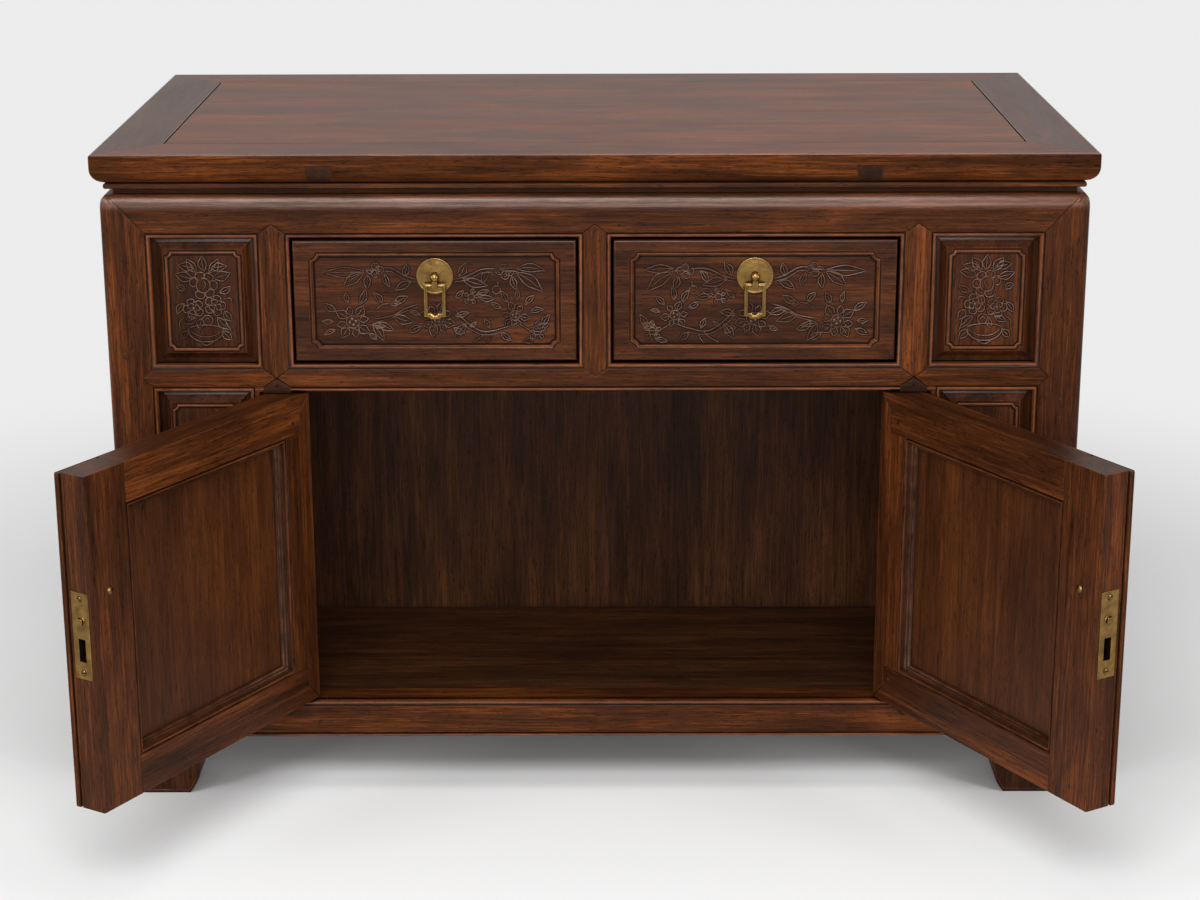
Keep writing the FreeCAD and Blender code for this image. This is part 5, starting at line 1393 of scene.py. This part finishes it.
def doorMember(outline):
    part = prism(shrunk(outline, slit), outerY, innerY)
    softenEdges(part, lambda e: atDepth(outerY)(e) or atDepth(innerY)(e), door["soft"])
    # The hinge edge is rounded on the outside, so that the door clears its jamb
    turn = door["hingeRound"]
    for n in range(1, 6):
        t = math.radians(15 * n)
        out = Vector((-math.cos(t), -math.sin(t), 0))
        cutAway(part, Vector((hingeX + turn, outerY + turn, 0)) + out * turn, out)
    return part


def upsideDown(outline):
    # The same outline at the other end of the door
    return [(x, doorLow + doorHigh - z) for x, z in reversed(outline)]


def hingeStile():
    upper = [(openX0, openZ1), (cornerX, openZ1), (cornerX, cornerZ), (hingeX, doorHigh)]
    bm = doorMember(upsideDown(upper) + upper)
    for z in (doorLow - 0.002, doorHigh + 0.002):
        pin = bmesh.new()
        addCone(pin, Matrix.Translation((0, 0, z)), 0.005, 0.020, 24)
        joinInto(bm, pin)
    return bm


def railPair():
    upper = [(openX1, openZ1), (openX1, doorHigh), (hingeX, doorHigh), (cornerX, cornerZ), (cornerX, openZ1)]
    bm = doorMember(upper)
    joinInto(bm, doorMember(upsideDown(upper)))
    return bm


def inSlot(point):
    y0, y1, z0, z1 = door["slot"]
    return y0 < point.y < y1 and z0 < point.z < z1


def freeStile():
    # Its section has the lip, a groove beside it and eased corners
    near, reach, lip = openX1 + slit, doorReach, stepY
    section = [(near, outerY), (reach - 0.0016, outerY), (reach - 0.0004, outerY + 0.0006), (reach, outerY + 0.0018)]
    section += [(reach, lip - 0.0016), (reach - 0.0008, lip - 0.0004), (stepX - 0.0020, lip)]
    section += [(stepX - 0.0020, lip + 0.0010), (stepX, lip + 0.0015)]
    section += [(stepX, innerY - 0.0012), (stepX - 0.0012, innerY), (near, innerY)]
    bm = bmesh.new()
    extrudeBy(bm, [bm.faces.new([bm.verts.new((x, y, doorLow)) for x, y in section])], (0, 0, doorHigh - doorLow))
    outward(bm)
    softenEdges(bm, lambda e: abs(e.verts[0].co.z - e.verts[1].co.z) < 1e-6, 0.0004)
    softenEdges(bm, lambda e: all(v.co.x < near + 1e-5 for v in e.verts) and bent(e, 1), 0.0004)
    (y0, y1, z0, z1), turn = door["slot"], door["lipRound"]
    ends = [z for d in (0.0006, 0.0013, 0.0022, turn) for z in (doorLow + d, doorHigh - d)]
    for z in (*ends, z0, z1):
        bisect(bm, (0, 0, z), (0, 0, 1))
    for y in (y0, y1, lip, lip + 0.0007):
        bisect(bm, (0, y, 0), (0, 1, 0))
    for vert in bm.verts:
        # The lip's two ends are rounded off
        end = min(vert.co.z - doorLow, doorHigh - vert.co.z)
        if vert.co.x > stepX and end < turn:
            vert.co.x = stepX + (vert.co.x - stepX) * math.sqrt(max(0, 1 - ((turn - end) / turn) ** 2))
        if vert.co.y < lip + 1e-5 and end < 0.0005:
            vert.co.z += 0.0009 if vert.co.z < (doorLow + doorHigh) / 2 else -0.0009
    # The bolt's opening is a real hollow
    hollow = [f for f in bm.faces if f.normal.x > 0.9 and inSlot(f.calc_center_median())]
    bmesh.ops.inset_region(bm, faces=hollow, thickness=0.0001, depth=0)
    extrudeBy(bm, hollow, (-door["slotDeep"], 0, 0))
    bmesh.ops.delete(bm, geom=hollow, context="FACES")
    return bm


def doorPanel():
    # Flat inside, coved up to a carved field outside
    tongue = 0.005
    cove = [(width * 1.25, rise) for width, rise in carvedPanel["cove"]]
    bm = covedBoard(openX0 + bead, openZ0 + bead, openX1 - bead, openZ1 - bead, sunkY, cove, 0.0105)
    far = openX1 + tongue, innerY - door["panelSunk"], openZ1 + tongue
    addBlock(bm, (openX0 - tongue, sunkY, openZ0 - tongue), far)
    return bm


def makeDoors():
    opening = rectangle(openX0, openZ0, openX1, openZ1)
    m, rivet = bead + 0.0185, Vector((door["rivet"][0], innerY, door["rivet"][1]))
    outerField, fieldY = notched(openX0 + m, openZ0 + m, openX1 - m, openZ1 - m, 0.008), sunkY - panelRise
    moulding = [(width, -rise) for width, rise in door["moulding"]]
    for side, name in bothSides:
        place, body, label = doorPlace(side, name), f"{name}_door", f"{name}Door"
        drawn = place.inverted()

        def done(bm, part, finish, grain="x", node=None, angle=17):
            nodes = [f"{body}_{node}"] if node else ()
            return finishPiece(bm, label + part, finish, grain, body, place, nodes, angle)

        def below(face):
            # How far the face lies below the door's inner face
            return innerY - (drawn @ face.center).y

        done(hingeStile(), "HingeStile", "frameWood", "z", "hinge_stile")
        done(railPair(), "RailPair", "frameWood", "x", "rails")
        piece = done(freeStile(), "FreeStile", "frameWood", "z", "free_stile")
        # Painted shade: the bolt's hollow is darkened
        refinish(piece, "shadeAndSeamWood", lambda f: inSlot(drawn @ f.center)
                 and stepX - 0.0125 < (drawn @ f.center).x < stepX - 0.0004)
        piece = trim(label + "InnerMoulding", opening, moulding, innerY, "frameWood", body, place)
        # Painted shade: the moulding's deep cove and the groove by its bead take a darker copy of the wood
        refinish(piece, "shadedFrameWood", lambda f: below(f) > 0.0032 or abs(below(f) - 0.0018) < 0.0009)
        # The outer opening has the same bead as the cabinet's openings
        trim(label + "OuterBead", opening, beadProfile, outerY, body=body, place=place)
        piece = done(doorPanel(), "Panel", "doorWood", "z", "panel")
        refinish(piece, "panelWood", lambda f: below(f) > door["panelSunk"] + 0.001)
        trim(label + "OuterPanelFrame", outerField, carvedPanel["ring"], fieldY, body=body, place=place)

        # Pegs through the joints, and the clenched end of the pull
        holes, ends = bmesh.new(), bmesh.new()
        for x, z in door["pegs"]:
            addPeg(holes, ends, (x, innerY, z), door["pegRadius"], 1)
        addPeg(holes, None, rivet, 0.0048, 1)
        # Thin dark lines along the lip and the step beside it
        for x, y in ((doorReach, outerY + 0.0030), (stepX, stepY + 0.0046)):
            addBlock(holes, (x - 0.001, y - 0.00022, doorLow + 0.004), (x + 0.00006, y + 0.00022, doorHigh - 0.004))
        done(holes, "PegGrooves", "shadeAndSeamWood")
        done(ends, "Pegs", "litSlopeAndPegWood")
        bm = bmesh.new()
        seat = Matrix.Translation(rivet) @ Matrix.Diagonal((0.0042, 0.0020, 0.0042, 1))
        bmesh.ops.create_uvsphere(bm, u_segments=20, v_segments=12, radius=1, matrix=seat)
        done(bm, "PullRivet", "agedBrass", angle=60)
        makeLock(name, place)


makeDoors()
makePegs()
print("doors ready")

# Width and sink of each step from a foot's rim to its sunk face
footRim = millimetres((0.4, -0.4), (2.0, 0), (0.6, 0.4), (0.8, 1.4))


def facesOut(face):
    # Whether it is one of the feet's large upright faces, turned away from the cabinet's middle
    centre, normal = face.calc_center_median(), face.normal
    acrossX, acrossY = normal.x * centre.x > 0, normal.y * (centre.y - middleY) > 0
    outside = acrossX and abs(normal.x) > 0.9 or acrossY and abs(normal.y) > 0.9
    return outside and face.calc_area() > 0.001 and abs(normal.z) < 0.1 and centre.z < railLow


def makeFeet():
    bm = bmesh.new()
    bm.from_mesh(frame["nodes"]["feet"].data)
    bmesh.ops.remove_doubles(bm, verts=bm.verts, dist=1e-5)
    bmesh.ops.dissolve_limit(bm, angle_limit=math.radians(1), verts=bm.verts, edges=bm.edges)
    for face in [f for f in bm.faces if facesOut(f)]:
        normal = face.normal.copy()
        for width, sink in footRim:
            inset(bm, face, width)
            for vert in face.verts:
                vert.co -= normal * sink
    # Painted shade: the feet take a darker copy of the frame wood
    finishPiece(bm, "footSet", "shadedFrameWood", "z", nodes=["feet"], angle=28)


makeFeet()
print("feet ready")

# Round brass plates with hanging bails
pull = {
    # Radius and height of the plate and the boss on it
    "plate": millimetres(
        (0, 0), (20.2, 0), (20.5, 0.4), (20.1, 1.1), (19.3, 1.3), (18.5, 1.0), (17.5, 1.0), (14.35, 1.3), (8.2, 1.6),
        (5.0, 1.9), (4.6, 3.0), (4.1, 4.2), (3.6, 5.6), (3.4, 7.0), (3.6, 8.0), (4.4, 8.8), (4.6, 9.8), (4.2, 11.0),
        (3.0, 11.9), (1.5, 12.3), (0, 12.4)),
    # Right half of the collar that carries the eye and flares down from the boss
    "flare": millimetres((1.872, 1.0), (2.16, -3.0), (3.312, -6.4), (3.456, -12.5)),
    "eyeDrop": 0.0095,
    "standOff": 0.0072,
    # Right half of the bail, from the tab at its foot, and the section of its strap
    "bail": millimetres((5.2, -47.4), (5.2, -46.32), (6.8, -46.32), (6.8, -45.0), (12, -45.0), (12, -7.4)),
    "strap": millimetres((0, -1), (0, 0.8), (0.5, 1.3), (1.9, 1.3), (2.3, 0.6), (3.4, 0.4), (3.8, 0), (3.8, -1),
                         (3.4, -1.3), (0.5, -1.3)),
    "bar": (0.0017, 0.020),  # radius and length
    "onDoor": (0.037, 0.0525),   # from the door's free edge, and above its middle
}


def makePull(name, kind, place):
    body, drop, stand = f"{name}_{kind}", pull["eyeDrop"], pull["standOff"]
    bm = spun(pull["plate"], 48)
    part = prism(mirrored(pull["flare"]), -stand - 0.0030, -stand + 0.0048)
    softenAll(part, 0.0009, 3)
    joinInto(bm, part)
    finishPiece(bm, f"{name}{kind.title()}PullPlate", "agedBrass", "x", body, place, [body + "_pull"], 35)
    bm, bar = swept(mirrored(pull["bail"]), pull["strap"], -stand), bmesh.new()
    addCone(bar, Matrix.Translation((0, -stand, -drop)) @ Matrix.Rotation(math.pi / 2, 4, "Y"), *pull["bar"], 16)
    joinInto(bm, bar)
    finishPiece(bm, f"{name}{kind.title()}PullBail", "agedBrass", "x", body + "_bail", place, [body + "_bail"], 35)


def makePulls():
    fromEdge, above = pull["onDoor"]
    for side, name in bothSides:
        (x0, _, z0), (x1, y1, z1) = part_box(f"{name}_drawer_pull")
        makePull(name, "drawer", Matrix.Translation(((x0 + x1) / 2, y1, (z0 + z1) / 2)))
        seat = Matrix.Translation((doorReach - fromEdge, outerY, (doorLow + doorHigh) / 2 + above))
        makePull(name, "door", doorPlace(side, name) @ seat)


makePulls()
print("pulls ready")

interior = {     # the frame's own nodes that stay, by the axis along which their grain runs
    "x": ("floor_board", "left_drawer_bottom", "right_drawer_bottom"),
    "y": ("drawer_runners", "top_battens", "left_drawer_box", "right_drawer_box"),
    "z": ("inner_back_panel",),
}


def dressNodes():
    for axis, names in interior.items():
        material = woodMaterial("interiorWood", axis)
        for name in names:
            for slot in frame["nodes"][name].material_slots:
                slot.material = material


dressNodes()
print("frame nodes dressed")
